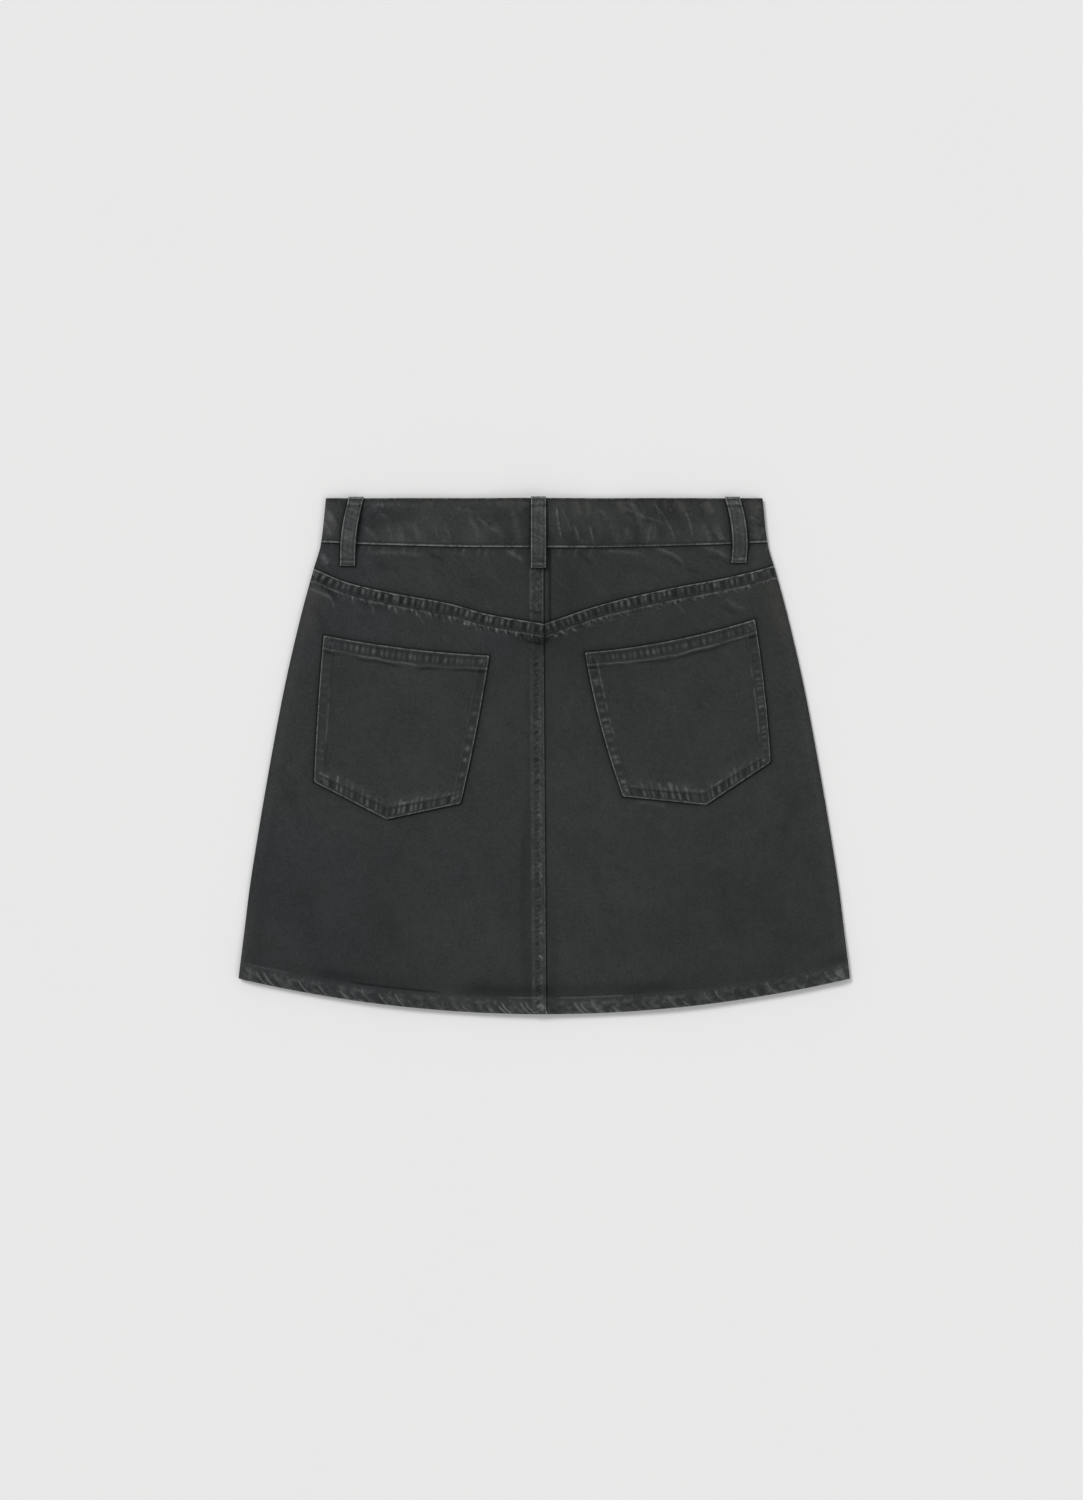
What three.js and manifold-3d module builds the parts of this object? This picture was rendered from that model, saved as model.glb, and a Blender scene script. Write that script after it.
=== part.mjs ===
// A washed black denim mini skirt with a V-shaped back yoke and two patch pockets,
// laid flat on its front so that the back is on top.
// Millimetres. X runs across the skirt, Y from the hem to the waist, and Z up from
// the surface it lies on. The origin is on that surface, under the middle of the skirt.

import * as THREE from "three";
import { mergeVertices } from "three/addons/utils/BufferGeometryUtils.js";
import Module from "manifold-3d";

// Driving dimensions of the cloth.
const CLOTH = 1.1; // one layer of denim
const BAND_CLOTH = 2.3; // the waistband, folded double
const HEM_CLOTH = 2.8; // the hem, turned up twice
const LOOP_CLOTH = 1.8; // a belt loop, folded in three and pressed
const GAP = 0.3; // between pieces that are sewn or lie together
const HALF_GAP = GAP / 2;

// Driving dimensions of the outline, seen from above.
const WAIST_Y = 205.8; // upper edge of the back waistband
const HEM_LOW_Y = -206.8; // lowest point of the hem, at the centre back
const HEM_ARC_R = 1051; // radius of the hem's curve
const FRONT_WAIST_DIP = 8; // the front waist edge lies lower than the back one
const FRONT_HEM_RISE = 2.5; // the front hem lies inside the back one
const BAND_HEIGHT = 39.8; // waistband, at the centre back
const BAND_SIDE_RISE = 4.4; // its lower edge rises this much towards the sides
const FRONT_BAND_HEIGHT = 37.5;
const BAND_HALF = 179; // half width at the waistband's lower edge
const FOLD_RUN = 8; // how far the side folds reach in from the outline

// Heights above the surface. The back lies on the front, and is held up where more layers
// lie under it: at the hem, the waistband, the side seams, the front loops and the closure.
const BACK_LEVEL = CLOTH + 0.5; // inner face of the back where it lies on one layer
const RISES = {
  hem: 3.15,
  band: 1.25,
  loop: 3.2,
  zip: 1.8,
  pullTab: 3.8,
  bandEnds: 3.9,
  button: 7,
};
const SLOPES = { side: 42, hem: 60, band: 24, stack: 46 }; // widths of the slopes beside them
const CLEAR = 3; // a rise begins this far outside what it clears
const WAVE = { height: 0.35, length: 119, shift: 0.6, start: -60, run: 140 };

// Seams.
const FELL_WIDTH = 9.5; // felled yoke seam
const BACK_FELL_WIDTH = 11.2; // felled centre back seam
const FELL_RISE = 1.1; // a felled seam stands one layer proud
const CROSS_RISE = 0.4; // share of a second felled seam's rise that shows where two cross
const STEP = 0.7; // width of the slope beside a raised band
const HEM_WIDTH = 14;
const HEM_PUFF = 0.3;

const HALF_WIDTHS = [
  { y: -178, half: 244.6 },
  { y: -139, half: 239.8 },
  { y: -100, half: 234.9 },
  { y: -24, half: 222.5 },
  { y: 53, half: 208.2 },
  { y: 111, half: 194.9 },
  { y: 149, half: 184.6 },
  { y: 168, half: BAND_HALF },
  { y: 206, half: 174.6 },
];

// Along the sides: the seam, and the inner face of the back where the side fold begins.
const SIDE_HEIGHTS = [
  { y: -207, seam: 2.95, back: 4.75 },
  { y: -160, seam: 2.9, back: 4.7 },
  { y: -120, seam: 2.2, back: 3.2 },
  { y: 110, seam: 2.2, back: 3.2 },
  { y: 150, seam: 2.6, back: 3.5 },
  { y: 206, seam: 2.9, back: 3.6 },
];

// Upper edge of the felled yoke seam, from the centre back out to each side.
const YOKE_CENTRE_Y = 105.2;
const YOKE_SEAMS = {
  left: [
    { out: 0, y: YOKE_CENTRE_Y },
    { out: 46.6, y: 113.5 },
    { out: 75.4, y: 121.5 },
    { out: 123, y: 130.3 },
    { out: 158.8, y: 138.9 },
    { out: 184.5, y: 149.6 },
  ],
  right: [
    { out: 0, y: YOKE_CENTRE_Y },
    { out: 44.6, y: 120.4 },
    { out: 99.6, y: 133.4 },
    { out: 137.9, y: 140.6 },
    { out: 168.5, y: 147.5 },
    { out: 183, y: 151.7 },
  ],
};

// The centre back seam runs straight through the yoke and then drifts to the right.
const BACK_SEAM_X = -0.2;
const BACK_SEAM_DRIFT = 2.2;

// Corners of the patch pockets, how far the opening sags below a straight line, and how far
// the middle of each side is bowed outwards.
const POCKETS = {
  pocket_left: {
    topInner: [-43.9, 79.8],
    topOuter: [-176.3, 96.0],
    lowOuter: [-184.0, -21.1],
    point: [-126.1, -51.1],
    lowInner: [-66.8, -38.2],
    sag: 2.4,
    innerBow: 1.2,
    outerBow: 0.8,
  },
  pocket_right: {
    topInner: [32.6, 82.3],
    topOuter: [168.4, 108.9],
    lowOuter: [181.0, -5.3],
    point: [129.4, -39.5],
    lowInner: [62.9, -32.7],
    sag: 4.0,
    innerBow: 2.8,
    outerBow: 1.5,
  },
};
const POCKET_HEM = 10.4; // turned opening of a pocket
const POCKET_TURNING = 8.6; // turned edges of a pocket
const POCKET_EDGE_RISE = 0.6; // a turned edge stands this much over the pocket's middle

// Belt loops. The back ones are given by their centre line, from the bottom to the top.
const LOOP_WIDTH = 12;
const LOOP_BOW = 2.4; // clear of the waistband, where the belt runs
const LOOP_TOP_Y = 206.8;
const LOOP_TACK = 5; // length of each sewn end
const LOOP_EDGE = 0.35; // a loop is this much thinner at its edges, above and below
const LOOP_CLIMB = 7; // a loop climbs onto the waistband over this length
const LOOP_STEPS = 14;
const BACK_LOOPS = {
  loop_back_left: [
    { y: 151.6, x: -157.4 },
    { y: 170, x: -156.6 },
    { y: 186.4, x: -154.6 },
    { y: LOOP_TOP_Y, x: -150.2 },
  ],
  loop_back_centre: [
    { y: 149.8, x: -4.6 },
    { y: LOOP_TOP_Y, x: -4.6 },
  ],
  loop_back_right: [
    { y: 154.0, x: 155.6 },
    { y: 170, x: 156.4 },
    { y: 191, x: 154.1 },
    { y: LOOP_TOP_Y, x: 150.2 },
  ],
};
const FRONT_LOOP_X = 95;
const FRONT_LOOP_LENGTH = 54.6;
const LOOP_LIFT = LOOP_CLOTH + GAP; // the front cloth rides over its loops by this much
const LIFT_RUN = 7; // and slopes back down over this much
const LIFT_MARGIN = 1; // from this far outside the loop

// The front closure: a metal button on the waistband and a zip under the left front.
const BUTTON_X = -14;
const BUTTON_R = 8.5;
const BUTTON_HEAD = 2.4;
const BUTTON_EDGE = 0.6;
const BUTTON_SHANK_R = 2.6;
const BUTTON_LIFT = BUTTON_HEAD + 0.4;
const BUTTONHOLE = { length: 20, eyeR: 3.1, slit: 1.2 };
const BUTTON_RIM = BUTTON_R + 1; // the waistband is fully raised this far from its middle
const BUTTON_SLOPE = 8.5;
const UNDERLAP = 33; // the right waistband end runs this far under the left one
const UNDERLAP_RAMP = 10; // and comes down to the surface this far on the other side
const ZIP_X = -6;
const ZIP_BOTTOM_Y = 46;
const ZIP_TAPE_HALF = 13;
const ZIP_TAPE = 0.7;
const ZIP_TEETH_HALF = 2.6;
const ZIP_TEETH = 1.5;
const ZIP_LIFT = 1.8; // the tape rises by this much over the pull tab
const TAPE_RAMP = 12;
const SLIDER = { width: 8, length: 11, height: 3.5, y: 146, taper: 1.4 };
const PULL_TAB = { width: 5, length: 18, thickness: 1.2 };

const FRONT_WAIST_MIDDLE = WAIST_Y - FRONT_WAIST_DIP;
const FRONT_BAND_LOW = FRONT_WAIST_MIDDLE - FRONT_BAND_HEIGHT;
const BUTTON_Y = FRONT_WAIST_MIDDLE - FRONT_BAND_HEIGHT / 2;
const SLIDER_LOW_Y = SLIDER.y - SLIDER.length / 2;
const PULL_LOW_Y = SLIDER_LOW_Y - PULL_TAB.length;

const wasm = await Module();
wasm.setup();

const lerp = THREE.MathUtils.lerp;
const smooth = (value) => THREE.MathUtils.smoothstep(value, 0, 1);

// A smooth curve through the rows of a table, with the slope at a row taken from its neighbours.
function tableCurve(rows, key, value) {
  const slopes = rows.map((row, i) => {
    const before = rows[Math.max(i - 1, 0)];
    const after = rows[Math.min(i + 1, rows.length - 1)];
    return (after[value] - before[value]) / (after[key] - before[key]);
  });
  return (at) => {
    const clamped = THREE.MathUtils.clamp(at, rows[0][key], rows[rows.length - 1][key]);
    const next = rows.findIndex((row) => row[key] >= clamped);
    const i = Math.max(next - 1, 0);
    const run = rows[i + 1][key] - rows[i][key];
    const t = (clamped - rows[i][key]) / run;
    const start = (1 + 2 * t) * (1 - t) ** 2 * rows[i][value];
    const end = t ** 2 * (3 - 2 * t) * rows[i + 1][value];
    const lean = t * (1 - t) ** 2 * slopes[i] - t ** 2 * (1 - t) * slopes[i + 1];
    return start + end + lean * run;
  };
}

const halfWidth = tableCurve(HALF_WIDTHS, "y", "half");
const sideSeamHeight = tableCurve(SIDE_HEIGHTS, "y", "seam");
const sideBackHeight = tableCurve(SIDE_HEIGHTS, "y", "back");
const yokeLeft = tableCurve(YOKE_SEAMS.left, "out", "y");
const yokeRight = tableCurve(YOKE_SEAMS.right, "out", "y");

// Edges and seams: most give the Y of a point at a given X, and the last two X at a given Y.
const hemEdge = (x) => HEM_LOW_Y + x ** 2 / (2 * HEM_ARC_R);
const frontHemEdge = (x) => hemEdge(x) + FRONT_HEM_RISE * (1 - (x / halfWidth(-178)) ** 2);
const bandLow = (x) => WAIST_Y - BAND_HEIGHT + BAND_SIDE_RISE * (x / BAND_HALF) ** 2;
const frontWaist = (x) => WAIST_Y - FRONT_WAIST_DIP * (1 - (x / BAND_HALF) ** 2);
const frontBandLow = (x) => frontWaist(x) - FRONT_BAND_HEIGHT;
const FRONT_LOOP_LOW = frontWaist(FRONT_LOOP_X) + 0.6 - FRONT_LOOP_LENGTH;
const yokeSeam = (x) => (x < BACK_SEAM_X ? yokeLeft(-x) : yokeRight(x));
const centreLine = () => 0;
const backSeamX = (y) => {
  const down = THREE.MathUtils.clamp((YOKE_CENTRE_Y - y) / (YOKE_CENTRE_Y - HEM_LOW_Y), 0, 1);
  return BACK_SEAM_X + BACK_SEAM_DRIFT * down;
};

// A rise in the cloth: whole up to its edge, then down to nothing over a slope.
const rise = (height, beyond, slope) => height * smooth(1 - beyond / slope);

// How far a point lies outside a span.
const outside = (at, low, high) => Math.max(low - at, at - high, 0);

// Inner face of the back. Each rise is the height that the layers below it need over the
// level, and the cloth follows the highest of them, with soft changes from one to the next.
// Shallow waves grow towards the hem.
function backHeight(x, y) {
  const out = Math.abs(x);
  const fromSide = halfWidth(y) - FOLD_RUN - out;
  const stack = (height, low, high, lowY) => {
    const aside = outside(x, low - CLEAR, high + CLEAR);
    return rise(height, Math.hypot(aside, Math.max(lowY - CLEAR - y, 0)), SLOPES.stack);
  };
  const loopEdge = LOOP_WIDTH / 2 + CLEAR;
  const fromButton = Math.hypot(x - BUTTON_X, y - BUTTON_Y) - BUTTON_R - 2 * CLEAR;
  const rises = [
    rise(sideBackHeight(y) - BACK_LEVEL, fromSide, SLOPES.side),
    rise(RISES.hem, y - hemEdge(x) - HEM_WIDTH, SLOPES.hem),
    rise(RISES.band, frontBandLow(x) - CLEAR - y, SLOPES.band),
    stack(RISES.loop, FRONT_LOOP_X - loopEdge, FRONT_LOOP_X + loopEdge, FRONT_LOOP_LOW),
    stack(RISES.loop, -FRONT_LOOP_X - loopEdge, -FRONT_LOOP_X + loopEdge, FRONT_LOOP_LOW),
    stack(RISES.zip, ZIP_X - ZIP_TAPE_HALF, ZIP_X + ZIP_TAPE_HALF, ZIP_BOTTOM_Y),
    stack(RISES.pullTab, ZIP_X - PULL_TAB.width, ZIP_X + PULL_TAB.width, PULL_LOW_Y - TAPE_RAMP),
    stack(RISES.bandEnds, -UNDERLAP, UNDERLAP_RAMP, frontBandLow(x)),
    rise(RISES.button, Math.max(fromButton, 0), SLOPES.stack),
  ];
  const highest = rises.reduce((sum, height) => sum + height ** 6, 0) ** (1 / 6);
  const swing = 1 + Math.cos((2 * Math.PI * x) / WAVE.length + WAVE.shift);
  const wave = WAVE.height * swing * smooth((WAVE.start - y) / WAVE.run) * smooth(fromSide / 60);
  return BACK_LEVEL + highest + wave;
}

// Height of the front's outer face: on the surface, but for where it rides over its belt loops.
function frontHeight(x, y) {
  const aside = Math.abs(Math.abs(x) - FRONT_LOOP_X) - LOOP_WIDTH / 2 - LIFT_MARGIN;
  const below = FRONT_LOOP_LOW - LIFT_MARGIN - y;
  return LOOP_LIFT * smooth(1 - aside / LIFT_RUN) * smooth(1 - below / LIFT_RUN);
}

// The left waistband end also rides over the button's head.
function bandFrontHeight(x, y) {
  const across = Math.abs(x - BUTTON_X);
  const along = Math.abs(y - BUTTON_Y);
  const from = (across ** 4 + along ** 4) ** 0.25;
  const button = BUTTON_LIFT * smooth(1 - (from - BUTTON_RIM) / BUTTON_SLOPE);
  return Math.max(frontHeight(x, y), x < 0 ? button : 0);
}

// The right waistband end lies on the left one, and comes down beside it.
function underlapHeight(x, y) {
  const over = bandFrontHeight(Math.min(x, -HALF_GAP), y) + BAND_CLOTH + GAP;
  const down = smooth((x - 1) / (UNDERLAP_RAMP - 1));
  return x < UNDERLAP_RAMP ? lerp(over, 0, down) : frontHeight(x, y);
}

// Columns of a panel. A flat column is a share of the way from the panel's inner edge to the
// side fold, and a turn column a share of the way round the quarter turn to the side seam.
const TURNS = [0.25, 0.5, 0.75, 1];
const flatColumn = (side, flat, more = {}) => ({ side, flat, turn: 0, rise: 0, ...more });
const turnColumns = (side) => TURNS.map((turn) => ({ side, flat: 1, turn, rise: 0 }));

function columnX(column, y, innerX) {
  const foldX = column.side * (halfWidth(y) - FOLD_RUN);
  const reach = column.side * FOLD_RUN * Math.sin((column.turn * Math.PI) / 2);
  return lerp(innerX(y), foldX, column.flat) + reach + (column.shift ?? 0);
}

// The X and Y where a column crosses a row, whose Y depends on X.
function crossing(column, row, innerX) {
  let y = 0;
  let x = 0;
  for (let step = 0; step < 8; step += 1) {
    x = columnX(column, y, innerX);
    y = row.edge(x);
  }
  return { x, y };
}

// A point of a side fold: a quarter ellipse from the flat cloth round to the side seam.
// run and rise are its half axes, and the point lies on its row at its own X.
function foldPoint(column, row, y, seamZ, run, rise) {
  const angle = ((1 - column.turn) * Math.PI) / 2;
  const x = column.side * (halfWidth(y) - FOLD_RUN + run * Math.cos(angle));
  return new THREE.Vector3(x, row.edge(x), seamZ + rise * Math.sin(angle));
}

// A point of a layer on the back. low and high are its faces above the back's inner face.
function backPair(column, row, innerX, low, high) {
  const { x, y } = crossing(column, row, innerX);
  if (column.turn === 0) {
    const base = backHeight(x, y);
    return {
      inner: new THREE.Vector3(x, y, base + low),
      outer: new THREE.Vector3(x, y, base + high),
    };
  }
  const seamZ = sideSeamHeight(y) + HALF_GAP;
  const base = backHeight(column.side * (halfWidth(y) - FOLD_RUN), y) - seamZ;
  return {
    inner: foldPoint(column, row, y, seamZ, FOLD_RUN - (high - low), base + low),
    outer: foldPoint(column, row, y, seamZ, FOLD_RUN, base + high),
  };
}

// A point of a layer on the front. height gives its outer face, and thick is its thickness.
function frontPair(column, row, height, thick) {
  const { x, y } = crossing(column, row, centreLine);
  if (column.turn === 0) {
    const base = height(x, y);
    return {
      outer: new THREE.Vector3(x, y, base),
      inner: new THREE.Vector3(x, y, base + thick),
    };
  }
  const seamZ = sideSeamHeight(y) - HALF_GAP;
  return {
    outer: foldPoint(column, row, y, seamZ, FOLD_RUN, -seamZ),
    inner: foldPoint(column, row, y, seamZ, FOLD_RUN - thick, thick - seamZ),
  };
}

// A closed wall from a grid of pairs: an outer face, an inner face and four edges.
function wallGeometry(grid) {
  const across = grid.length;
  const along = grid[0].length;
  const points = grid.flat().flatMap((pair) => [...pair.outer, ...pair.inner]);
  const at = (i, j, inner) => (i * along + j) * 2 + (inner ? 1 : 0);
  const triangles = [];
  const quad = (a, b, c, d) => triangles.push(a, b, c, a, c, d);
  for (let i = 0; i < across - 1; i += 1) {
    for (let j = 0; j < along - 1; j += 1) {
      quad(at(i, j), at(i + 1, j), at(i + 1, j + 1), at(i, j + 1));
      quad(at(i, j, true), at(i, j + 1, true), at(i + 1, j + 1, true), at(i + 1, j, true));
    }
    quad(at(i, 0), at(i, 0, true), at(i + 1, 0, true), at(i + 1, 0));
    const last = along - 1;
    quad(at(i, last), at(i + 1, last), at(i + 1, last, true), at(i, last, true));
  }
  for (let j = 0; j < along - 1; j += 1) {
    quad(at(0, j), at(0, j + 1), at(0, j + 1, true), at(0, j, true));
    const last = across - 1;
    quad(at(last, j), at(last, j, true), at(last, j + 1, true), at(last, j + 1));
  }
  const geometry = new THREE.BufferGeometry();
  geometry.setAttribute("position", new THREE.Float32BufferAttribute(points, 3));
  geometry.setIndex(triangles);
  return facingOut(geometry);
}

// Turns every face round if the body is inside out.
function facingOut(geometry) {
  const position = geometry.getAttribute("position");
  const index = geometry.getIndex();
  const [a, b, c] = [new THREE.Vector3(), new THREE.Vector3(), new THREE.Vector3()];
  let volume = 0;
  for (let i = 0; i < index.count; i += 3) {
    a.fromBufferAttribute(position, index.getX(i));
    b.fromBufferAttribute(position, index.getX(i + 1));
    c.fromBufferAttribute(position, index.getX(i + 2));
    volume += a.dot(b.cross(c));
  }
  if (volume < 0) {
    geometry.setIndex([...index.array].reverse());
  }
  geometry.computeVertexNormals();
  return geometry;
}

// The solid of a closed geometry, for cutting.
function solidOf(geometry) {
  const bare = geometry.clone();
  bare.deleteAttribute("normal");
  bare.deleteAttribute("uv");
  const merged = mergeVertices(bare, 1e-4);
  return new wasm.Manifold(
    new wasm.Mesh({
      numProp: 3,
      vertProperties: merged.getAttribute("position").array,
      triVerts: new Uint32Array(merged.getIndex().array),
    }),
  );
}

function cutAway(geometry, cutter) {
  const mesh = solidOf(geometry).subtract(solidOf(cutter)).getMesh();
  const cut = new THREE.BufferGeometry();
  cut.setAttribute("position", new THREE.BufferAttribute(mesh.vertProperties, 3));
  cut.setIndex(new THREE.BufferAttribute(mesh.triVerts, 1));
  cut.computeVertexNormals();
  return cut;
}

const denim = new THREE.MeshStandardMaterial({ color: "#363938", roughness: 0.95, metalness: 0 });
const metal = new THREE.MeshStandardMaterial({ color: "#7d7c78", roughness: 0.4, metalness: 0.9 });
const tape = new THREE.MeshStandardMaterial({ color: "#232424", roughness: 0.9, metalness: 0 });

const skirt = new THREE.Group();
skirt.name = "denim_skirt";

function addPiece(name, geometry, material) {
  const mesh = new THREE.Mesh(geometry, material);
  mesh.name = name;
  skirt.add(mesh);
}

// Rows of a panel: evenly spread between two edges.
function rowsBetween(low, high, count) {
  return Array.from({ length: count }, (_, i) => {
    const share = (i + 1) / (count + 1);
    return { edge: (x) => lerp(low(x), high(x), share), rise: 0, turnUp: 0 };
  });
}

const rowAt = (edge, more = {}) => ({ edge, rise: 0, turnUp: 0, ...more });

// Columns of the left back and left yoke: they overlap the right ones at the centre back,
// so their folded edge stands proud over the width of the felled seam.
const FLAT_SHARES = [0.1, 0.16, 0.24, 0.34, 0.45, 0.56, 0.67, 0.78, 0.88, 0.94, 1];
const LEFT_COLUMNS = [
  flatColumn(-1, 0, { shift: -HALF_GAP, rise: FELL_RISE }),
  flatColumn(-1, 0, { shift: -BACK_FELL_WIDTH, rise: FELL_RISE }),
  flatColumn(-1, 0, { shift: -BACK_FELL_WIDTH - STEP }),
  ...FLAT_SHARES.map((share) => flatColumn(-1, share)),
  ...turnColumns(-1),
];
const RIGHT_COLUMNS = [
  flatColumn(1, 0, { shift: HALF_GAP }),
  flatColumn(1, 0.05),
  ...FLAT_SHARES.map((share) => flatColumn(1, share)),
  ...turnColumns(1),
];

// The back's walls: a felled seam or hem stands proud of one plain layer, and a hem also
// hangs below it.
function backGrid(columns, rows) {
  return columns.map((column) =>
    rows.map((row) => {
      const proud = Math.max(column.rise, row.rise) + CROSS_RISE * Math.min(column.rise, row.rise);
      return backPair(column, row, backSeamX, -row.turnUp, CLOTH + proud);
    }),
  );
}

// Backs, from the hem to the folded edge of the yoke seam.
const HEM_TURN = { rise: HEM_PUFF, turnUp: HEM_CLOTH - CLOTH - HEM_PUFF };
const backRows = [
  rowAt(hemEdge, HEM_TURN),
  rowAt((x) => hemEdge(x) + HEM_WIDTH, HEM_TURN),
  rowAt((x) => hemEdge(x) + HEM_WIDTH + STEP),
  ...rowsBetween(
    (x) => hemEdge(x) + HEM_WIDTH,
    (x) => yokeSeam(x) - FELL_WIDTH,
    12,
  ),
  rowAt((x) => yokeSeam(x) - FELL_WIDTH - STEP),
  rowAt((x) => yokeSeam(x) - FELL_WIDTH, { rise: FELL_RISE }),
  rowAt((x) => yokeSeam(x) - HALF_GAP, { rise: FELL_RISE }),
];
addPiece("back_left", wallGeometry(backGrid(LEFT_COLUMNS, backRows)), denim);
addPiece("back_right", wallGeometry(backGrid(RIGHT_COLUMNS, backRows)), denim);

// Yokes, from the yoke seam to the waistband.
const yokeRows = [
  rowAt((x) => yokeSeam(x) + HALF_GAP),
  ...rowsBetween(yokeSeam, bandLow, 3),
  rowAt((x) => bandLow(x) - HALF_GAP),
];
addPiece("yoke_left", wallGeometry(backGrid(LEFT_COLUMNS, yokeRows)), denim);
addPiece("yoke_right", wallGeometry(backGrid(RIGHT_COLUMNS, yokeRows)), denim);

// Back waistband, from one side seam over the back to the other.
const bandColumns = [
  ...turnColumns(-1).reverse(),
  ...[...FLAT_SHARES].reverse().map((share) => flatColumn(-1, share)),
  flatColumn(1, 0),
  ...FLAT_SHARES.map((share) => flatColumn(1, share)),
  ...turnColumns(1),
];
const bandRows = [
  rowAt((x) => bandLow(x) + HALF_GAP),
  ...rowsBetween(bandLow, () => WAIST_Y, 3),
  rowAt(() => WAIST_Y),
];
const bandGrid = bandColumns.map((column) =>
  bandRows.map((row) => backPair(column, row, centreLine, 0, BAND_CLOTH)),
);
addPiece("waistband_back", wallGeometry(bandGrid), denim);

// Fronts. Their columns stand close together where the cloth rides over a belt loop.
const liftSteps = [0, LIFT_RUN / 2, LIFT_RUN].map((step) => LIFT_MARGIN + step);
const loopColumnXs = [-1, 1].flatMap((way) =>
  liftSteps.map((step) => FRONT_LOOP_X + way * (LOOP_WIDTH / 2 + step)),
);
const frontColumnXs = [24, 48, 66, ...loopColumnXs, 128, 148].sort((a, b) => a - b);
const xColumn = (x) => flatColumn(Math.sign(x), 0, { shift: x });
const frontColumns = (side) => [
  xColumn(side * HALF_GAP),
  ...frontColumnXs.map((x) => xColumn(side * x)),
  flatColumn(side, 1),
  ...turnColumns(side),
];
const frontRows = [
  rowAt(frontHemEdge, { turnUp: HEM_CLOTH - CLOTH }),
  rowAt((x) => frontHemEdge(x) + HEM_WIDTH, { turnUp: HEM_CLOTH - CLOTH }),
  rowAt((x) => frontHemEdge(x) + HEM_WIDTH + STEP),
  ...rowsBetween(
    (x) => frontHemEdge(x) + HEM_WIDTH,
    () => FRONT_LOOP_LOW - LIFT_MARGIN - LIFT_RUN,
    6,
  ),
  ...[...liftSteps].reverse().map((step) => rowAt(() => FRONT_LOOP_LOW - step)),
  rowAt((x) => frontBandLow(x) - HALF_GAP),
];
function frontGrid(side) {
  return frontColumns(side).map((column) =>
    frontRows.map((row) => frontPair(column, row, frontHeight, CLOTH + row.turnUp)),
  );
}
addPiece("front_left", wallGeometry(frontGrid(-1)), denim);
addPiece("front_right", wallGeometry(frontGrid(1)), denim);

// Front waistband ends. Rows lie at the button's middle and rims, so that both ends clear it.
const bandMiddle = FRONT_BAND_HEIGHT / 2;
const buttonFoot = BUTTON_RIM + BUTTON_SLOPE / 2;
const frontBandRows = [-bandMiddle + HALF_GAP, -buttonFoot, -BUTTON_RIM, 0]
  .concat([BUTTON_RIM, buttonFoot, bandMiddle])
  .map((up) => rowAt((x) => frontWaist(x) - bandMiddle + up));
const overlapXs = [-UNDERLAP, BUTTON_X - buttonFoot, BUTTON_X - BUTTON_RIM]
  .concat([BUTTON_X, BUTTON_X + BUTTON_RIM, -HALF_GAP]);
const beyondXs = frontColumnXs.filter((x) => x > UNDERLAP);

function frontBandGrid(columns, height) {
  return columns.map((column) =>
    frontBandRows.map((row) => frontPair(column, row, height, BAND_CLOTH)),
  );
}
const leftBandColumns = [
  ...turnColumns(-1).reverse(),
  flatColumn(-1, 1),
  ...[...beyondXs].reverse().map((x) => xColumn(-x)),
  ...overlapXs.map(xColumn),
];
const rightBandColumns = [
  ...overlapXs.map(xColumn),
  ...[1, 4, 7, UNDERLAP_RAMP, 24].map(xColumn),
  ...beyondXs.map(xColumn),
  flatColumn(1, 1),
  ...turnColumns(1),
];

// The buttonhole is a keyhole through the left end: round at the shank, then a narrow slit.
const slitAngle = Math.asin(BUTTONHOLE.slit / 2 / BUTTONHOLE.eyeR);
const keyhole = new THREE.Shape();
keyhole.absarc(0, 0, BUTTONHOLE.eyeR, slitAngle - Math.PI, Math.PI - slitAngle);
keyhole.lineTo(BUTTONHOLE.eyeR - BUTTONHOLE.length, BUTTONHOLE.slit / 2);
keyhole.lineTo(BUTTONHOLE.eyeR - BUTTONHOLE.length, -BUTTONHOLE.slit / 2);
keyhole.closePath();
const keyholeCutter = new THREE.ExtrudeGeometry(keyhole, {
  depth: 3 * BAND_CLOTH,
  bevelEnabled: false,
  curveSegments: 16,
});
keyholeCutter.translate(BUTTON_X, BUTTON_Y, -BAND_CLOTH / 2);
const leftBand = frontBandGrid(leftBandColumns, bandFrontHeight);
addPiece("waistband_front_left", cutAway(wallGeometry(leftBand), keyholeCutter), denim);
const rightBand = frontBandGrid(rightBandColumns, underlapHeight);
addPiece("waistband_front_right", wallGeometry(rightBand), denim);

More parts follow.
